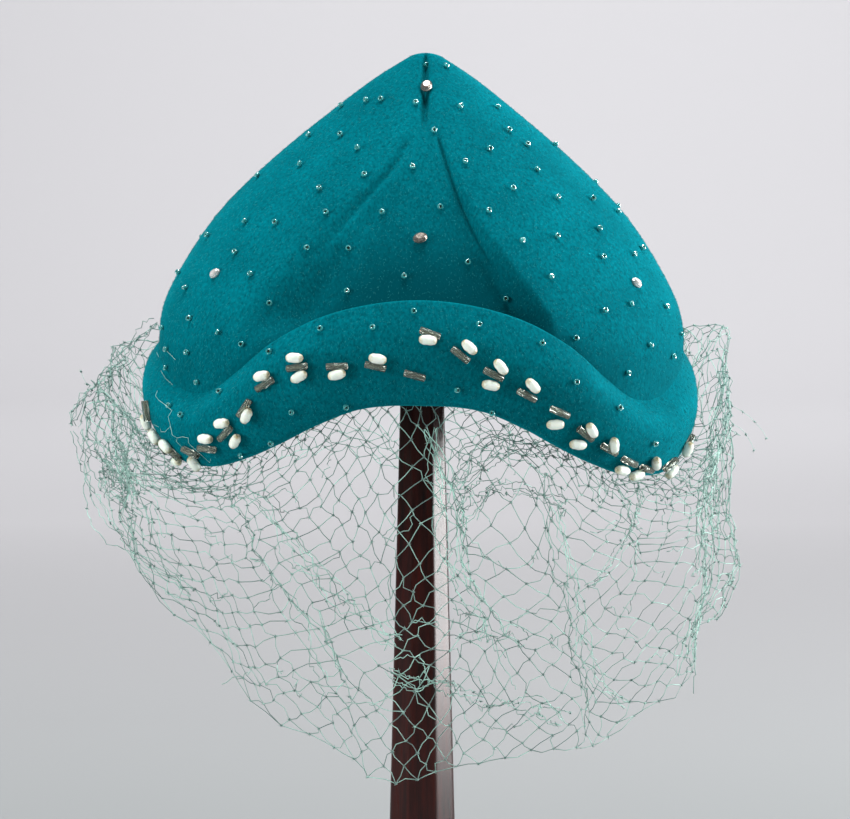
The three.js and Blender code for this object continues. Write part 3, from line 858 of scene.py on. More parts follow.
def bead_lining(name, dark, light):
    """Tarnished lining of a bead's bore with its thread: dull, unevenly stained from bead to bead."""
    material, tree, place = new_material(name, Roughness=0.7, Specular_IOR_Level=0.15)
    tint(tree, ranged(tree, noise(tree, place, 6), 0.35, 0.65), linear(dark), linear(light))
    return material


def foiled_stone(name, dark, light, foil):
    """Cut glass on silver foil: bright facets that mirror by the foil's share, with dulled patches."""
    material, tree, place = new_material(name, IOR=1.6, Metallic=foil, Coat_Weight=0.6)
    dulled = noise(tree, place, 1.6)
    tint(tree, dulled, linear(dark), linear(light))
    feed(tree, "Roughness", ranged(tree, dulled, 0, 1, 0.1, 0.35))
    return material


def mahogany():
    """Stained mahogany, planed and varnished: near black brown, with fine pores and a satin glare."""
    stand = settings().stand
    material, tree, place = new_material(
        "stained_mahogany", Coat_Weight=0.6, Coat_Roughness=0.2, Specular_IOR_Level=0.05)
    grain = noise(tree, drawn_out(tree, place, 0.06), 2.2, 6.0, 0.7)
    tint(tree, ranged(tree, grain, 0.35, 0.68), stand.wood_dark, stand.wood_light)
    feed(tree, "Roughness", ranged(tree, grain, 0, 1, 0.36, 0.22))
    emboss(tree, grain, 0.25, 0.2)
    return material


def seamless_paper():
    """Pale backdrop paper: plain and matt, graded from the floor to the wall, with painted shade on the
    darker floor.
    """
    stage = settings().stage
    material, tree, place = new_material("seamless_paper", Roughness=1.0, Specular_IOR_Level=0.05)
    depth = add_node(tree, "ShaderNodeSeparateXYZ", {"Vector": place}).outputs["Y"]
    # Painted shade: the paper is darker in front, where it lies on the floor, and lighter up the wall.
    tint(tree, ranged(tree, depth, 0.3, 1.6), stage.floor, stage.wall)
    return material


# Felt.

def crown_heights(angle, rows):
    """Heights of a column's rows on the crown, from the edge inside the cuff to the ring below the peak."""
    evenness = 1.25
    edge = cuff_at(angle).fold + CUFF_FELT + EDGE_GAP
    share = 1 - np.linspace(1, 0, rows)[:, None] ** evenness
    return edge + (CROWN_TOP_RING - edge) * share


def column_angles(columns):
    """Angles of columns round the hat: close over the front's folds, wider apart along a sine behind."""
    closeness = 0.6
    even = np.linspace(-180, 180, columns, endpoint=False)[None, :]
    return even - closeness * np.degrees(np.sin(np.radians(even)))


def crown_surface(columns, rows):
    """Rings of the crown's outer face and their ways out."""
    angle = column_angles(columns)
    height = crown_heights(angle, rows)
    return crown_face(angle, height), slopes(crown_face, angle, height, (0.3, 0.2))[2]


def crown_painted_shade(columns, rows):
    """Painted shade on the crown's felt, from 0 to 1: most at the cuff's upper edge and over the face."""
    angle = column_angles(columns)
    cuff = cuff_at(angle)
    above = crown_heights(angle, rows) - cuff.fold - cuff.height
    away = half_angle(angle)
    shade_over_face = (1 - smoothstep(above, 0, PAINTED_SHADE_HEIGHT)) * (
        1 - PAINTED_SHADE_LOSS * smoothstep(away, *PAINTED_SHADE_ANGLES))
    # A narrower band of painted shade in the crease along the cuff's edge, all round.
    crease_shade = (1 - smoothstep(above, 0, CREASE_SHADE_HEIGHT)) * (
        1 - CREASE_SHADE_LOSS * smoothstep(away, *CREASE_SHADE_ANGLES))
    return np.maximum(shade_over_face, crease_shade)


def crown_shape():
    """The crown's shell, and its painted shade at every corner.

    The shell is the outer face with a parabola over its top ring, and the same face drawn in by the felt's
    thickness, with a quarter of the rows.
    """
    columns, rows = 480, 120
    outer, out = crown_surface(columns, rows)
    peak = np.array([0, 0, PEAK_HEIGHT])
    shares = np.array([0.75, 0.5, 0.25])[:, None, None]
    cap = peak + (outer[-1] - peak) * shares * np.array([1, 1, 0])
    cap[..., 2] = PEAK_HEIGHT - (PEAK_HEIGHT - CROWN_TOP_RING) * shares[..., 0] ** 2
    inner = (outer - out * CROWN_FELT)[::-4]
    poles = np.array([peak - [0, 0, CROWN_FELT], peak])
    # Only the outer face carries painted shade; the inner face, the cap and the poles carry none.
    pressed_and_painted_shade = np.concatenate([np.zeros(inner[..., 0].size), crown_painted_shade(columns, rows).reshape(-1),
                              np.zeros(cap[..., 0].size + len(poles))])
    return skin(seated(np.concatenate([inner, outer, cap])), seated(poles)), pressed_and_painted_shade


def cuff_shape():
    """The cuff's hooked section carried round the hat.

    Up the outer face, over a half round edge, down the inner face to the pocket that holds the crown, over
    the turn-in behind it, and back under a half oval roll.
    """
    columns, face_rows, arc_rows = 360, 36, 9
    angle = np.linspace(0, FULL_TURN, columns, endpoint=False)[None, :]
    cuff = cuff_at(angle)
    back = -CROWN_FELT - TURN_IN_GAP
    half = CUFF_FELT / 2
    edge = cuff_wall(cuff, 1) / 2
    arc = np.linspace(0, np.pi, arc_rows)[1:-1, None]
    low, high = CUFF_FELT / cuff.height, 1 - edge / cuff.height
    outer = low + (high - low) * np.linspace(0, 1, face_rows)[:, None]
    inner = high + (2 * low - high) * np.linspace(0, 1, face_rows // 2)[:, None]
    toe = cuff_offset(cuff, low) + CUFF_FELT
    roll_middle, roll_reach = (toe + back - CUFF_FELT) / 2, (toe - back + CUFF_FELT) / 2
    level = np.ones_like(angle)
    hook = [(GAP, CUFF_FELT), (back, CUFF_FELT), (back, CUFF_TURN_IN), (back - half, CUFF_TURN_IN + half),
            (back - CUFF_FELT, CUFF_TURN_IN), (back - CUFF_FELT, CUFF_FELT)]
    offsets = np.concatenate([
        cuff_offset(cuff, outer) + cuff_wall(cuff, outer),
        cuff_offset(cuff, high) + edge + edge * np.cos(arc),
        cuff_offset(cuff, inner),
        *[level * offset for offset, _ in hook],
        roll_middle - roll_reach * np.cos(arc),
    ])
    rises = np.concatenate([
        cuff.height * outer,
        cuff.height - edge + edge * np.sin(arc),
        cuff.height * inner,
        *[level * rise for _, rise in hook],
        CUFF_FELT - CUFF_FELT * np.sin(arc) * level,
    ])
    return hoop(seated(beside(np.broadcast_to(angle, rises.shape), cuff.fold + rises, offsets)))


def nap_shape(rings, out, fibres, seed):
    """Loose fibres on a face, with their tones: three-sided spikes, scattered evenly by area, combed down.

    Each leaves the felt at a random place of a random quad, leans from the way out towards the foot of the
    face, and ends in a point.
    """
    felt = settings().felt
    untidiness, leans, lengths, tones = 0.75, (0.15, 0.6), (0.6, 1.3), (0, 0.7)
    dice = np.random.default_rng(seed)
    rows, columns = rings.shape[:2]
    corners = grid(rows, columns)
    points, ways = rings.reshape(-1, 3), out.reshape(-1, 3)
    diagonals = points[corners[:, 2]] - points[corners[:, 0]], points[corners[:, 3]] - points[corners[:, 1]]
    areas = np.linalg.norm(np.cross(*diagonals), axis=1)
    chosen = corners[dice.choice(len(corners), fibres, p=areas / areas.sum())]
    s, t = dice.random((2, fibres, 1))
    weights = np.stack([(1 - s) * (1 - t), s * (1 - t), s * t, (1 - s) * t], 1)
    root = (points[chosen] * weights).sum(1)
    normal = unit((ways[chosen] * weights).sum(1))
    comb = unit(np.array([0, 0, -1.0]) + dice.normal(0, untidiness, (fibres, 3)))
    comb = unit(comb - normal * (comb * normal).sum(1, keepdims=True))
    lean = dice.uniform(*leans, (fibres, 1))
    way = unit(normal * lean + comb)
    side = unit(np.cross(way, normal))
    lift = np.cross(side, way)
    width = felt.fibre_width / MM / 2
    size = felt.fibre_length / MM * dice.uniform(*lengths, (fibres, 1))
    base = root - normal * width
    corner = np.radians([90, 210, 330])[:, None]
    spokes = np.cos(corner) * lift[:, None] - np.sin(corner) * side[:, None]
    ring = base[:, None] + width * spokes
    spikes = np.concatenate([ring, (base + way * size)[:, None]], 1)
    faces = np.array([(0, 1, 3), (1, 2, 3), (2, 0, 3), (0, 2, 1)])
    first = np.arange(fibres)[:, None, None] * 4
    marks = {"tone": np.repeat(dice.uniform(*tones, fibres), 4)}
    return (seated(spikes.reshape(-1, 3)), [(faces[None] + first).reshape(-1, 3)]), marks


# Veil.

def turned_from(angle, line):
    """How far an angle is round from a line, from -180 to 180."""
    return np.mod(angle - line + 180, FULL_TURN) - 180


def net_point(column, row):
    """Where the veil's knots lie, by column round and row down, with its folds, rolls and waves.

    The net spreads from the face along a sine as it falls. A fold is a bowed, slanting line that draws the
    threads towards it along a bell curve's slope and stands out along the bell curve. A roll lifts the
    knots round its middle along bell curves. The waves are sines, fuller beside and behind the face, and
    the hem ends along more of them.
    """
    net, fold, roll, wave = settings().net, NET_FOLDS, NET_ROLLS, NET_WAVES
    angle, drop = (column * FULL_TURN / net.columns)[..., None], (row / net.rows)[..., None]
    down = np.clip(drop, 0, 1)
    begin = smoothstep(down, *WAVES_BEGIN)
    fullness = FACE_FULLNESS + SIDE_FULLNESS * smoothstep(half_angle(angle), *SIDE_ANGLES)
    phase = wave["round"] * np.radians(angle) + 2 * np.pi * wave["down"] * down + wave["phase"]
    line = fold["angle"] + fold["slant"] * down + fold["bow"] * np.sin(np.pi * down)
    apart = turned_from(angle, line) / fold["width"]
    begun = smoothstep(down, fold["top"] + FOLD_BEGINS[0], fold["top"] + FOLD_BEGINS[1])
    ended = smoothstep(down, fold["bottom"] + FOLD_ENDS[0], fold["bottom"] + FOLD_ENDS[1])
    bell = bump(apart, 1) * begun * (1 - ended)
    drawn = wave["turn"] * np.sin(phase) * begin
    spread_out = NET_SPREAD * (down * np.sin(np.radians(angle)))[..., 0]
    at = angle[..., 0] + spread_out + drawn.sum(-1) - (FOLD_GRIP * fold["pull"] * apart * bell).sum(-1)
    rise = (fold["rise"] * bell).sum(-1) + (wave["out"] * np.cos(phase) * fullness * begin).sum(-1)
    near = bump(turned_from(angle, roll["angle"]), roll["angle_width"])
    near = near * bump(down - roll["drop"], roll["drop_width"])
    lift = (roll["lift"] * near).sum(-1) + (wave["fall"] * np.sin(phase + 1) * fullness * begin).sum(-1)
    hem_phase = HEM_WAVES["round"] * np.radians(angle) + HEM_WAVES["phase"]
    hem = (HEM_WAVES["height"] * np.sin(hem_phase)).sum(-1)
    points = veil_face(at, drop[..., 0])
    turn = np.radians(at)
    points += np.stack([np.sin(turn), -np.cos(turn), np.zeros_like(turn)], -1) * rise[..., None]
    points[..., 2] += lift + hem * (fullness * down ** 2)[..., 0]
    return points


def threads(start, finish, bow, thickness):
    """Round threads between rows of points: a square of points carried along a parabola through the bow."""
    shares = np.array([0, 0.5, 1])[:, None, None]
    path = start + (finish - start) * shares + bow * 4 * shares * (1 - shares)
    tangent = unit(finish - start)
    # The last term keeps the side from vanishing for a thread that starts on the axis.
    side = unit(np.cross(tangent, start * [1, 1, 0] + [0, 0, 1e-6]))
    lift = np.cross(side, tangent)
    spokes = np.stack([side, lift, -side, -lift], 1) * thickness[:, None, None] / 2
    sides = spokes.shape[1]
    points = (path[:, :, None] + spokes).transpose(1, 0, 2, 3)
    first = np.arange(len(start))[:, None, None] * points.shape[1] * sides
    walls = grid(points.shape[1], sides)
    caps = np.stack([np.arange(sides)[::-1], points.shape[1] * sides - sides + np.arange(sides)])
    return points.reshape(-1, 3), [(block[None] + first).reshape(-1, sides) for block in (walls, caps)]


def strands(rows, points):
    """Starts and ends of the runs between points that follow each other on one thread of a table."""
    follows = np.flatnonzero(np.diff(rows["thread"]) == 0)
    return points[follows], points[follows + 1]


def lobe_points():
    """Points of the threads on the left temple: on the cuff where a pixel shows it, else on the crown."""
    wanted = pixels_of(LOBE_THREADS)
    found = []
    for face, span, steps in ((crown_face, CROWN_SPAN, CROWN_STEPS), (cuff_face, CUFF_SPAN, CUFF_STEPS)):
        place = seen_at(face, span, LOBE_THREADS)
        found.append(seated(face(*place) + slopes(face, *place, steps)[2] * TEMPLE_LIFT))
    missed = np.linalg.norm(in_photograph(found[1]) - wanted, axis=1)
    return np.where(missed[:, None] < ON_CUFF_PIXELS, found[1], found[0])


def loose_points(knots):
    """Points of the loose ends: each starts at the front knot nearest its first pixel, at one depth."""
    pixels = pixels_of(LOOSE_THREADS)
    number = LOOSE_THREADS["thread"].astype(int)
    first = pixels[np.searchsorted(number, np.unique(number))]
    front = knots[knots[:, 1] < LOOSE_DEPTH]
    moved = (pixels - first[number]) * settings().stage.pixel
    start = front[nearest(first, in_photograph(front))][number]
    return start + np.stack([moved[:, 0], np.zeros(len(moved)), -moved[:, 1]], -1)


def at_pixels(pixels, ahead):
    """Points of the frame at pixels of the photograph, at distances along +Y."""
    stage = settings().stage
    aim, distance = np.array(stage.aim) / MM, stage.distance / MM
    cosine, sine = np.cos(stage.elevation), np.sin(stage.elevation)
    right = (pixels[:, 0] - PHOTO_WIDTH / 2) * stage.pixel / distance
    up = (PHOTO_HEIGHT / 2 - pixels[:, 1]) * stage.pixel / distance
    # The ray through a pixel leaves the camera along (right, cosine + up * sine, up * cosine - sine).
    camera = aim + np.array([0, -cosine, sine]) * distance
    ray = np.stack([right, cosine + up * sine, up * cosine - sine], -1)
    return camera + ray * ((ahead - camera[1]) / ray[:, 1])[:, None]


def bunch_runs(knots, dice):
    """Starts, ends and tones of the runs of all bunches: threads that weave about a path along two sines.

    Each point lies at the depth of the front knot that is nearest to it in the photograph.
    """
    steps, windings, fraying, standing_off, depth_spread = 20, (0.5, 2.6), 0.4, -1, 1.2
    front = knots[knots[:, 1] < BUNCH_DEPTH]
    seen = in_photograph(front)
    starts, ends, tones = [], [], []
    for bunch, number, tone in zip(*NET_BUNCHES.values()):
        chosen = BUNCH_PATHS["bunch"] == bunch
        corners = np.arange(chosen.sum())
        along = np.linspace(0, corners[-1], steps)
        across, down, half = [np.interp(along, corners, BUNCH_PATHS[name][chosen])
                              for name in ("across", "down", "spread")]
        path = np.stack([across, down], -1)
        way = unit(np.gradient(path, axis=0))
        phases = dice.uniform(0, 2 * np.pi, (int(number), 2, 1))
        turns = dice.uniform(*windings, (int(number), 2, 1))
        weave = np.sin(turns * along + phases).mean(1) * half
        pixels = path + np.stack([-way[:, 1], way[:, 0]], -1) * weave[..., None]
        pixels = (pixels + dice.normal(0, fraying, pixels.shape)).reshape(-1, 2)
        depth = front[nearest(pixels, seen), 1]
        depth = depth + dice.normal(standing_off, depth_spread, len(depth))
        points = at_pixels(pixels, depth).reshape(-1, steps, 3)
        starts.append(points[:, :-1].reshape(-1, 3))
        ends.append(points[:, 1:].reshape(-1, 3))
        tones.append(np.full(len(starts[-1]), tone))
    return np.concatenate(starts), np.concatenate(ends), np.concatenate(tones)


def wisp_runs(knots, dice):
    """Starts and ends of the runs of broken threads: short random walks down the net from random knots."""
    steps, stride, straying, flatness = 5, 2.0, 1.4, 0.85
    first = knots[dice.integers(0, len(knots), settings().net.wisps)]
    out = unit(first * [1, 1, 0])[:, None]
    drift = dice.normal(0, stride, (len(first), 1, 3))
    drift[..., 2] = -np.abs(drift[..., 2])
    stray = drift + dice.normal(0, straying, (len(first), steps, 3))
    stray = stray - flatness * out * (stray * out).sum(-1, keepdims=True)
    points = np.concatenate([first[:, None], first[:, None] + np.cumsum(stray, 1)], 1)
    return points[:, :-1].reshape(-1, 3), points[:, 1:].reshape(-1, 3)


def net_knots(dice):
    """Knots of a diamond mesh in rows, with every second row half a mesh further on, and their angles."""
    net = settings().net
    rows = np.arange(-HEADING_ROWS, net.rows + 1)[:, None]
    row = np.repeat(rows, net.columns, 1).astype(float)
    column = np.arange(net.columns) + (rows % 2) / 2
    knots = net_point(column, np.where(row < 0, row * net.rows / HEADING_ROWS, row))
    scatter = dice.normal(0, KNOT_SCATTER, knots.shape) * smoothstep(row, *SCATTER_ROWS)[..., None]
    return seated(knots + scatter), column * FULL_TURN / net.columns


def knot_shapes(tied, dice):
    """Knots at points: each is three eight-sided slivers that cross, its turns and two tails."""
    uneven = (0.7, 1.2)
    slivers = np.repeat(tied, len(KNOT_SLIVERS), 0)
    size = settings().net.knot / MM / 2 * np.tile(KNOT_SLIVERS, (len(tied), 1))
    size = size * dice.uniform(*uneven, size.shape)
    turns = np.linalg.qr(dice.normal(size=(len(slivers), 3, 3)))[0]
    turns = turns * np.sign(np.linalg.det(turns))[:, None, None]
    corners = np.concatenate([np.eye(3), -np.eye(3)])
    faces = np.array([
        (0, 1, 2), (1, 3, 2), (3, 4, 2), (4, 0, 2), (1, 0, 5), (3, 1, 5), (4, 3, 5), (0, 4, 5)])
    return copies((corners, [faces]), slivers, turns * size[:, :, None])


def toned(points, tones, dice):
    """Marks with an uneven tone for each thread or sliver, the same at all of its corners."""
    uneven = np.clip(dice.normal(tones, TONE_SPREAD), 0, 1)
    return {"tone": np.repeat(uneven, len(points) // len(uneven))}


def veil_shapes():
    """The veil's threads and its knots, each with the tones of their corners.

    Threads run between neighbours of the diamond mesh, and a few have strayed or run together.
    """
    dice = np.random.default_rng(7)
    knots, angle = net_knots(dice)
    points = knots.reshape(-1, 3)
    lobe, loose = strands(LOBE_THREADS, lobe_points()), strands(LOOSE_THREADS, loose_points(points))
    bunch, wisp = bunch_runs(points, dice), wisp_runs(knots[WISP_ROWS].reshape(-1, 3), dice)
    above, below = knots[:-1], knots[1:]
    even = (np.arange(len(above)) % 2 == 0)[:, None, None]
    beside_it = np.where(even, np.roll(below, 1, 1), np.roll(below, -1, 1))
    front = half_angle(angle[-1]) < HEM_THREAD_ANGLE
    hem = knots[-1, front], np.roll(knots[-1], -1, 0)[front]
    # Each group of runs has its starts and ends, its tone, and a share of the full thickness.
    groups = [
        (above, below, THREAD_TONE, 1),
        (above, beside_it, THREAD_TONE, 1),
        (*hem, THREAD_TONE, 1),
        (*wisp, THREAD_TONE, 1),
        (*bunch, 1),
        (*lobe, TEMPLE_TONE, TEMPLE_THREAD_SHARE),
        (*loose, TEMPLE_TONE, TEMPLE_THREAD_SHARE),
    ]
    start, finish = [np.concatenate([group[end].reshape(-1, 3) for group in groups]) for end in (0, 1)]
    tone, share = [np.concatenate([np.broadcast_to(group[value], group[0].size // 3) for group in groups])
                   for value in (2, 3)]
    bow = dice.normal(0, THREAD_BOW, start.shape)
    thread = threads(start, finish, bow, share * settings().net.thread / MM)
    tied = np.concatenate([points, loose[1], bunch[1][::BUNCH_KNOT_STEP]])
    knot = knot_shapes(tied, dice)
    thread_marks = toned(thread[0], tone, dice)
    knot_marks = toned(knot[0], np.full(len(tied) * len(KNOT_SLIVERS), KNOT_TONE), dice)
    return (thread, thread_marks), (knot, knot_marks)


# Trim.

def lathe(along, radius, sides, wrinkle=None):
    """A profile of distances along an axis and radii, turned about the first axis."""
    turn = np.arange(sides) * 2 * np.pi / sides
    radii = np.repeat(radius[:, None], sides, 1)
    if wrinkle:
        radii = radii * wrinkle(along[:, None], turn[None, :])
    return np.stack([np.repeat(along[:, None], sides, 1), radii * np.cos(turn), radii * np.sin(turn)], -1)


def pearl_shape():
    """One rice pearl: a barrel whose radius is a super-oval of its length, sunk at the thread holes."""
    half_length, half_width, fullness, hole, hole_depth = 2.95, 1.65, 2.5, 0.4, 0.9
    along = np.sin(np.linspace(-np.pi / 2, np.pi / 2, 19)[1:-1])
    radius = (1 - np.abs(along) ** fullness) ** (1 / fullness)
    along = np.concatenate([[-1 + hole_depth / half_length], along, [1 - hole_depth / half_length]])
    radius = np.concatenate([[hole / half_width], radius, [hole / half_width]])

    def wrinkle(x, turn):
        """Shallow dents: a sine that winds round the pearl, and one along it that sways."""
        return 1 + 0.025 * np.sin(3 * turn + 2 * x) + 0.03 * np.sin(3.2 * x + 2 * np.sin(turn))

    rings = lathe(along * half_length, radius * half_width, 20, wrinkle)
    ends = [[hole_depth - half_length, 0, 0], [half_length - hole_depth, 0, 0]]
    return skin(rings, np.array(ends))


def stone_shape(half_length, half_width, depth):
    """An oval stone: a flat back, a girdle, two rows of facets that are turned half a step, and a table."""
    sides = 12
    profile = table("reach height turn", [
        (0.8, 0, 0), (1, 0.34, 0), (1, 0.46, 0), (0.86, 0.78, 0.5), (0.56, 1, 0)])
    turn = (np.arange(sides) + profile["turn"][:, None]) * 2 * np.pi / sides
    rings = np.stack([
        half_length * profile["reach"][:, None] * np.cos(turn),
        half_width * profile["reach"][:, None] * np.sin(turn),
        np.broadcast_to((profile["height"][:, None] - 0.5) * depth, turn.shape)], -1)
    return skin(rings, np.array([[0, 0, -depth / 2], [0, 0, depth / 2]]))


def bugle_shape():
    """A short tube: its wall's section, with softened ends, turned about the bore."""
    trim = settings().trim
    half, radius = trim.bugle_length / MM / 2, trim.bugle_thickness / MM / 2
    softened = 0.75 * radius
    along = np.array([-0.97, -1, -0.96, 0, 0.96, 1, 0.97, 0]) * half
    wall = np.array([BUGLE_BORE, softened, radius, radius, radius, softened, BUGLE_BORE, BUGLE_BORE])
    return hoop(lathe(along, wall, 10))


def rod_shape(half_length, radius, rings):
    """The lining and thread in a bead's bore: a rod with closed ends."""
    rod = lathe(np.linspace(-half_length, half_length, rings), np.full(rings, radius), 8)
    return skin(rod, np.array([[-half_length, 0, 0], [half_length, 0, 0]]))


def seed_shape():
    """One seed bead: an oval section carried round the thread hole."""
    sides, section = 10, 6
    size = settings().trim.seed_size / MM
    turn = -np.arange(section) * 2 * np.pi / section
    wall = (1 - SEED_BORE) / 2
    radius = (SEED_BORE + wall + wall * np.cos(turn)) * size / 2
    return hoop(lathe(SEED_HEIGHT / 2 * size * np.sin(turn), radius, sides))


def on_end(shape):
    """A shape turned so that its length runs along the third axis."""
    points, faces = shape
    return points[:, [1, 2, 0]], faces


def lain_on(face, first, second, steps, turn, lift):
    """Middles and axes of small pieces on a face: turned from level in it, and lifted off it."""
    out = slopes(face, first, second, steps)[2]
    cosine, sine = np.cos(np.radians(turn))[:, None], np.sin(np.radians(turn))[:, None]
    level = unit(np.stack([-out[:, 1], out[:, 0], np.zeros(len(out))], -1))
    along = level * cosine + np.cross(out, level) * sine
    middles = seated(face(first, second) + out * lift)
    axes = np.stack([along, np.cross(out, along), out], 1)
    return middles, seated(axes) - seated(np.zeros(3))


def pixels_of(rows):
    """Pixels across and down in a table."""
    return np.stack([rows["across"], rows["down"]], -1)


def nearest(wanted, places):
    """The number of the place that is nearest to each wanted one."""
    return ((places[None] - wanted[:, None]) ** 2).sum(-1).argmin(1)


def seen_at(face, span, rows):
    """The parameters of a face's front at pixels of the photograph: the nearest point of a fine grid."""
    angle, level = np.meshgrid(np.arange(-88, 88.1, 0.5), np.linspace(*span, 240), indexing="ij")
    places = in_photograph(seated(face(angle, level))).reshape(-1, 2)
    number = nearest(pixels_of(rows), places)
    return angle.reshape(-1)[number], level.reshape(-1)[number]


def scatter_behind(count, start):
    """Angles round the back and shares from 0 to 1: steps of the plastic ratio's powers, shaken a bit."""
    number = np.arange(count)[:, None] + start
    shaken = np.random.default_rng(start).normal(0, 0.25 / np.sqrt(count), (count, 2))
    share, rise = np.mod(number * np.array([0.7548776662, 0.5698402910]) + shaken, 1).T
    return BACK_ANGLE + share * (FULL_TURN - 2 * BACK_ANGLE), rise


def seeds_on(face, steps, span, seen, behind):
    """Middles and axes of the seed beads on a face: at pixels of a table, and at parameters behind."""
    places = [np.concatenate(both) for both in zip(seen_at(face, span, seen), behind)]
    lift = SEED_LIFT * settings().trim.seed_size / MM
    return lain_on(face, *places, steps, np.zeros(len(places[0])), lift)


def seed_places():
    """Middles and axes of all seed beads: those of the photograph, and an even scatter round the back.

    Behind, they thin out towards the peak with the crown's girth. All are tilted at random.
    """
    count = settings().trim.back_seeds
    angle, rise = scatter_behind(count, 3)
    cuff = cuff_at(angle)
    foot = cuff.fold + cuff.height + BACK_FOOT
    reach = 1 - np.sqrt(rise)
    height = foot + (CROWN_TOP_RING - BACK_TOP - foot) * (0.6 * reach + 0.4 * reach ** 1.5)
    on_crown = seeds_on(crown_face, CROWN_STEPS, CROWN_SPAN, CROWN_SEEDS, (angle, height))
    angle, rise = scatter_behind(count // BACK_CUFF_PART, 11)
    level = BACK_CUFF_SPAN[0] + (BACK_CUFF_SPAN[1] - BACK_CUFF_SPAN[0]) * rise
    on_cuff = seeds_on(cuff_face, CUFF_STEPS, CUFF_SPAN, CUFF_SEEDS, (angle, level))
    centres, axes = [np.concatenate(both) for both in zip(on_crown, on_cuff)]
    dice = np.random.default_rng(5)
    axes[:, 2] += dice.normal(0, SEED_TILT, (len(axes), 3))
    out = unit(axes[:, 2])
    along = unit(axes[:, 0] - out * (axes[:, 0] * out).sum(1, keepdims=True))
    return centres, np.stack([along, np.cross(out, along), out], 1)


# Stand.

def eight_sided(rings):
    """Rings of an eight-sided bar with softened corners, from rows of the flats' distance and height.

    The reach at an angle is the flats' distance over the power sum of its cosines to the four pairs of
    flats. The higher the power, the sharper the corners.
    """
    sides, power = 96, 40
    turn = np.arange(sides) * 2 * np.pi / sides - np.pi / 2
    flats = np.radians([-90, -45, 0, 45])
    cosines = np.abs(np.cos(turn[:, None] - flats)) ** power
    reach = cosines.sum(1) ** (-1 / power)
    radius, height = rings["radius"][:, None], rings["height"][:, None]
    level = np.broadcast_to(height, (len(radius), sides))
    return np.stack([radius * reach * np.cos(turn), radius * reach * np.sin(turn), level], -1)


def stand_piece(name, softness):
    """A solid of the stand with softened edges, from the flats' distances at its foot and its top."""
    points = node_points(name)
    low, high = points[:, 2].min(), points[:, 2].max()
    middle = (low + high) / 2
    foot, top = [np.abs(points[side, 0]).max() for side in (points[:, 2] < middle, points[:, 2] > middle)]
    slope = (top - foot) / (high - low)
    eased = 0.3 * softness
    rows = [(foot - softness, low), (foot - eased, low + eased), (foot, low + softness)]
    levels = np.linspace(low + softness, high - softness, 14)[1:]
    rows += [(foot + slope * (level - low), level) for level in levels]
    rows += [(top - eased, high - eased), (top - softness, high)]
    return skin(eight_sided(table("radius height", rows)), np.array([[0, 0, low], [0, 0, high]]))


# Operators.

class PieceOperator:
    """What all operators share: each makes its pieces and says that it has finished."""
    bl_options = {"REGISTER", "UNDO"}

    def execute(self, context):
        self.make(context.scene)
        return {"FINISHED"}


class VEILEDHAT_OT_crown(PieceOperator, bpy.types.Operator):
    """Make the crown's felt shell and its nap"""
    bl_idname = "veiled_hat.crown"
    bl_label = "Crown"

    def make(self, scene):
        # The crown's felt carries its painted shade as a mark, which its material reads.
        shape, pressed_and_painted_shade = crown_shape()
        put("crown_felt", shape, velour_felt(), ["crown"], marks={"pressed_and_painted_shade": pressed_and_painted_shade})
        shape, marks = nap_shape(*crown_surface(240, 80), settings().felt.fibres, 1)
        put("crown_nap", shape, felt_nap(), marks=marks)


class VEILEDHAT_OT_cuff(PieceOperator, bpy.types.Operator):
    """Make the turned-up cuff of felt and its nap"""
    bl_idname = "veiled_hat.cuff"
    bl_label = "Cuff"

    def make(self, scene):
        put("cuff_felt", cuff_shape(), velour_felt(), ["cuff"])
        angle = np.linspace(0, FULL_TURN, 240, endpoint=False)[None, :]
        share = np.linspace(0.02, 0.99, 30)[:, None]
        out = slopes(cuff_face, angle, share, (0.3, 0.01))[2]
        shape, marks = nap_shape(cuff_face(angle, share), out, settings().felt.fibres // 3, 2)
        put("cuff_nap", shape, felt_nap(), marks=marks)


class VEILEDHAT_OT_veil(PieceOperator, bpy.types.Operator):
    """Make the knotted net veil"""
    bl_idname = "veiled_hat.veil"
    bl_label = "Veil"

    def make(self, scene):
        (net, net_marks), (knots, knot_marks) = veil_shapes()
        thread = net_thread()
        put("veil_net", net, thread, ["veil"], marks=net_marks)
        put("veil_knots", knots, thread, marks=knot_marks)


class VEILEDHAT_OT_pearls(PieceOperator, bpy.types.Operator):
    """Make the rice pearls on the cuff"""
    bl_idname = "veiled_hat.pearls"
    bl_label = "Rice pearls"

    def make(self, scene):
        names = sorted(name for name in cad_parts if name.startswith("pearl_"))
        shape = pearl_shape()
        along = np.abs(shape[0][:, 0])
        pearls = copies(shape, *node_places(names))
        marks = {"end": np.tile(along / along.max(), len(names))}
        put("rice_pearls", pearls, rice_pearl(), names, marks=marks)


class VEILEDHAT_OT_stones(PieceOperator, bpy.types.Operator):
    """Make the two cut stones and the two small ones on the crown"""
    bl_idname = "veiled_hat.stones"
    bl_label = "Cut stones"

    def make(self, scene):
        names = ["stone_peak", "stone_front"]
        stones = copies(stone_shape(2.5, 1.9, 2.2), *node_places(names))
        pinkish = foiled_stone("foil_backed_glass", "77685e", "b5afa6", 0.75)
        put("cut_stones", stones, pinkish, names, smooth=False)
        half_length, half_width, depth = 2.1, 1.5, 1.9
        places = seen_at(crown_face, CROWN_SPAN, SMALL_STONES)
        laid = lain_on(crown_face, *places, CROWN_STEPS, SMALL_STONES["turn"], 0.4 * depth)
        stones = copies(stone_shape(half_length, half_width, depth), *laid)
        silvered = foiled_stone("worn_silvered_glass", "c4c0b6", "ffffff", 0.42)
        put("small_stones", stones, silvered, smooth=False)


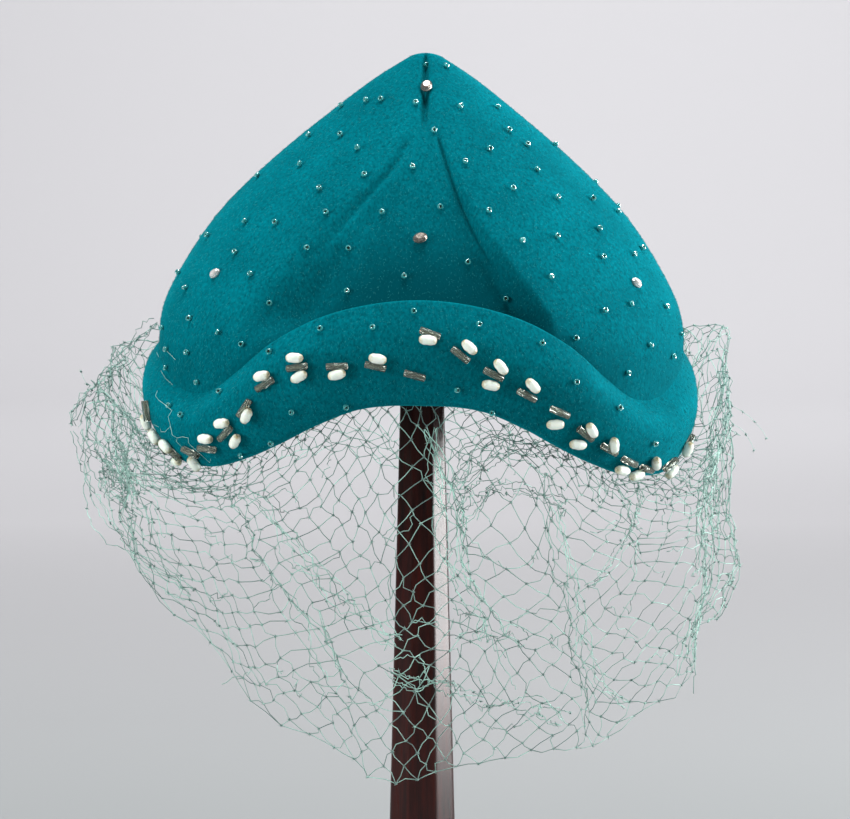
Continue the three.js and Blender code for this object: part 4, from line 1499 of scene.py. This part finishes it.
class VEILEDHAT_OT_bugles(PieceOperator, bpy.types.Operator):
    """Make the bugle beads on the cuff"""
    bl_idname = "veiled_hat.bugles"
    bl_label = "Bugle beads"

    def make(self, scene):
        trim = settings().trim
        lift = trim.bugle_thickness / MM / 2
        places = lain_on(cuff_face, BUGLES["angle"], BUGLES["level"], CUFF_STEPS, BUGLES["turn"], lift)
        glass = bead_glass("bugle_glass", "c4cabe", "e4f8f0", 0.88, 0.12)
        put("bugle_beads", copies(bugle_shape(), *places), glass)
        rod = rod_shape(0.95 * trim.bugle_length / MM / 2, 0.96 * BUGLE_BORE, 5)
        lining = bead_lining("bugle_lining", "2e322c", "b0b3a4")
        put("bugle_linings", copies(rod, *places), lining)


class VEILEDHAT_OT_seeds(PieceOperator, bpy.types.Operator):
    """Make the seed beads scattered over the felt"""
    bl_idname = "veiled_hat.seeds"
    bl_label = "Seed beads"

    def make(self, scene):
        places = seed_places()
        glass = bead_glass("seed_glass", "5cc4c2", "70d4d4", 0.62, 0.1)
        put("seed_beads", copies(on_end(seed_shape()), *places), glass)
        size = settings().trim.seed_size / MM
        rod = rod_shape(0.25 * SEED_HEIGHT * size, 0.45 * SEED_BORE * size, 3)
        lining = bead_lining("seed_lining", "06181a", "3c483a")
        put("seed_linings", copies(on_end(rod), *places), lining)


class VEILEDHAT_OT_stand(PieceOperator, bpy.types.Operator):
    """Make the eight-sided post and its foot"""
    bl_idname = "veiled_hat.stand"
    bl_label = "Stand"

    def make(self, scene):
        wood = mahogany()
        for name, softness in (("stand_post", 0.8), ("stand_foot", 2.5)):
            put(f"{name}_wood", stand_piece(name, softness), wood, [name])


class VEILEDHAT_OT_stage(PieceOperator, bpy.types.Operator):
    """Make the floor, the soft lights and the camera"""
    bl_idname = "veiled_hat.stage"
    bl_label = "Stage"

    def make(self, scene):
        self.floor(scene)
        scene.view_settings.view_transform = "Standard"
        for name, softbox in SOFTBOXES.items():
            self.light(scene, name, *softbox)
        world = bpy.data.worlds.new("studio_air")
        world.use_nodes = True
        air = world.node_tree.nodes["Background"]
        air.inputs["Color"].default_value = opaque(linear("e6e8ec"))
        air.inputs["Strength"].default_value = AIR_STRENGTH
        scene.world = world
        self.camera(scene)

    def floor(self, scene):
        """A sheet of paper: flat on the floor, up a quarter round, and up the wall behind."""
        half_width, front, bend, radius, top = 6000, -6000, 2900, 1200, 5000
        arc = np.linspace(0, np.pi / 2, 24)
        depth = np.concatenate([[front], bend + radius * np.sin(arc), [bend + radius]])
        height = np.concatenate([[0], radius - radius * np.cos(arc), [top]])
        points = np.stack([np.stack([np.full(len(depth), side), depth, height], -1)
                           for side in (-half_width, half_width)], 1)
        mesh = bpy.data.meshes.new("paper_sweep")
        corners = (points.reshape(-1, 3) * MM).tolist()
        mesh.from_pydata(corners, [], grid(len(depth), 2, ring=False).tolist())
        mesh.polygons.foreach_set("use_smooth", np.ones(len(mesh.polygons), bool))
        mesh.materials.append(seamless_paper())
        sweep = bpy.data.objects.new("paper_sweep", mesh)
        scene.collection.objects.link(sweep)

    def light(self, scene, name, place, size, power, target, missed_by):
        """A square softbox that faces a target and that some kinds of ray miss."""
        lamp = bpy.data.lights.new(name, "AREA")
        lamp.size = size
        lamp.energy = power
        box = bpy.data.objects.new(name, lamp)
        box.location = place
        away = tuple(np.array(target) - np.array(place))
        box.rotation_euler = Vector(away).to_track_quat("-Z", "Y").to_euler()
        for rays in missed_by:
            setattr(box, rays, False)
        scene.collection.objects.link(box)

    def camera(self, scene):
        """A long lens whose pixel spans the stated size at the post's axis."""
        stage = settings().stage
        lens = bpy.data.cameras.new("photo_camera")
        lens.sensor_width = 36
        lens.lens = lens.sensor_width * stage.distance / (stage.pixel * MM * PHOTO_WIDTH)
        lens.clip_end = 50
        camera = bpy.data.objects.new("photo_camera", lens)
        back = np.array([0, -np.cos(stage.elevation), np.sin(stage.elevation)])
        camera.location = np.array(stage.aim) + back * stage.distance
        camera.rotation_euler = (np.pi / 2 - stage.elevation, 0, 0)
        scene.collection.objects.link(camera)
        scene.camera = camera


OPERATORS = (
    VEILEDHAT_OT_stage, VEILEDHAT_OT_stand, VEILEDHAT_OT_crown, VEILEDHAT_OT_cuff, VEILEDHAT_OT_pearls,
    VEILEDHAT_OT_stones, VEILEDHAT_OT_bugles, VEILEDHAT_OT_seeds, VEILEDHAT_OT_veil,
)


class VEILEDHAT_PT_pieces(bpy.types.Panel):
    """Lists the hat's pieces and the stage"""
    bl_idname = "VEILEDHAT_PT_pieces"
    bl_label = "Veiled hat"
    bl_space_type = "VIEW_3D"
    bl_region_type = "UI"
    bl_category = "Veiled hat"

    def draw(self, context):
        for operator in OPERATORS:
            self.layout.operator(operator.bl_idname)
        for group in ("felt", "net", "trim", "stand", "stage"):
            values = getattr(context.scene.veiled_hat, group)
            box = self.layout.box()
            box.label(text=group.capitalize())
            for name in values.__annotations__:
                box.prop(values, name)


CLASSES = (
    FeltSettings, NetSettings, TrimSettings, StandSettings, StageSettings, HatSettings, *OPERATORS,
    VEILEDHAT_PT_pieces,
)


def register():
    for made in CLASSES:
        bpy.utils.register_class(made)
    bpy.types.Scene.veiled_hat = PointerProperty(type=HatSettings)


def unregister():
    del bpy.types.Scene.veiled_hat
    for made in reversed(CLASSES):
        bpy.utils.unregister_class(made)


def main():
    register()
    for operator in OPERATORS:
        getattr(bpy.ops.veiled_hat, operator.bl_idname.split(".")[1])()


if __name__ == "__main__":
    main()
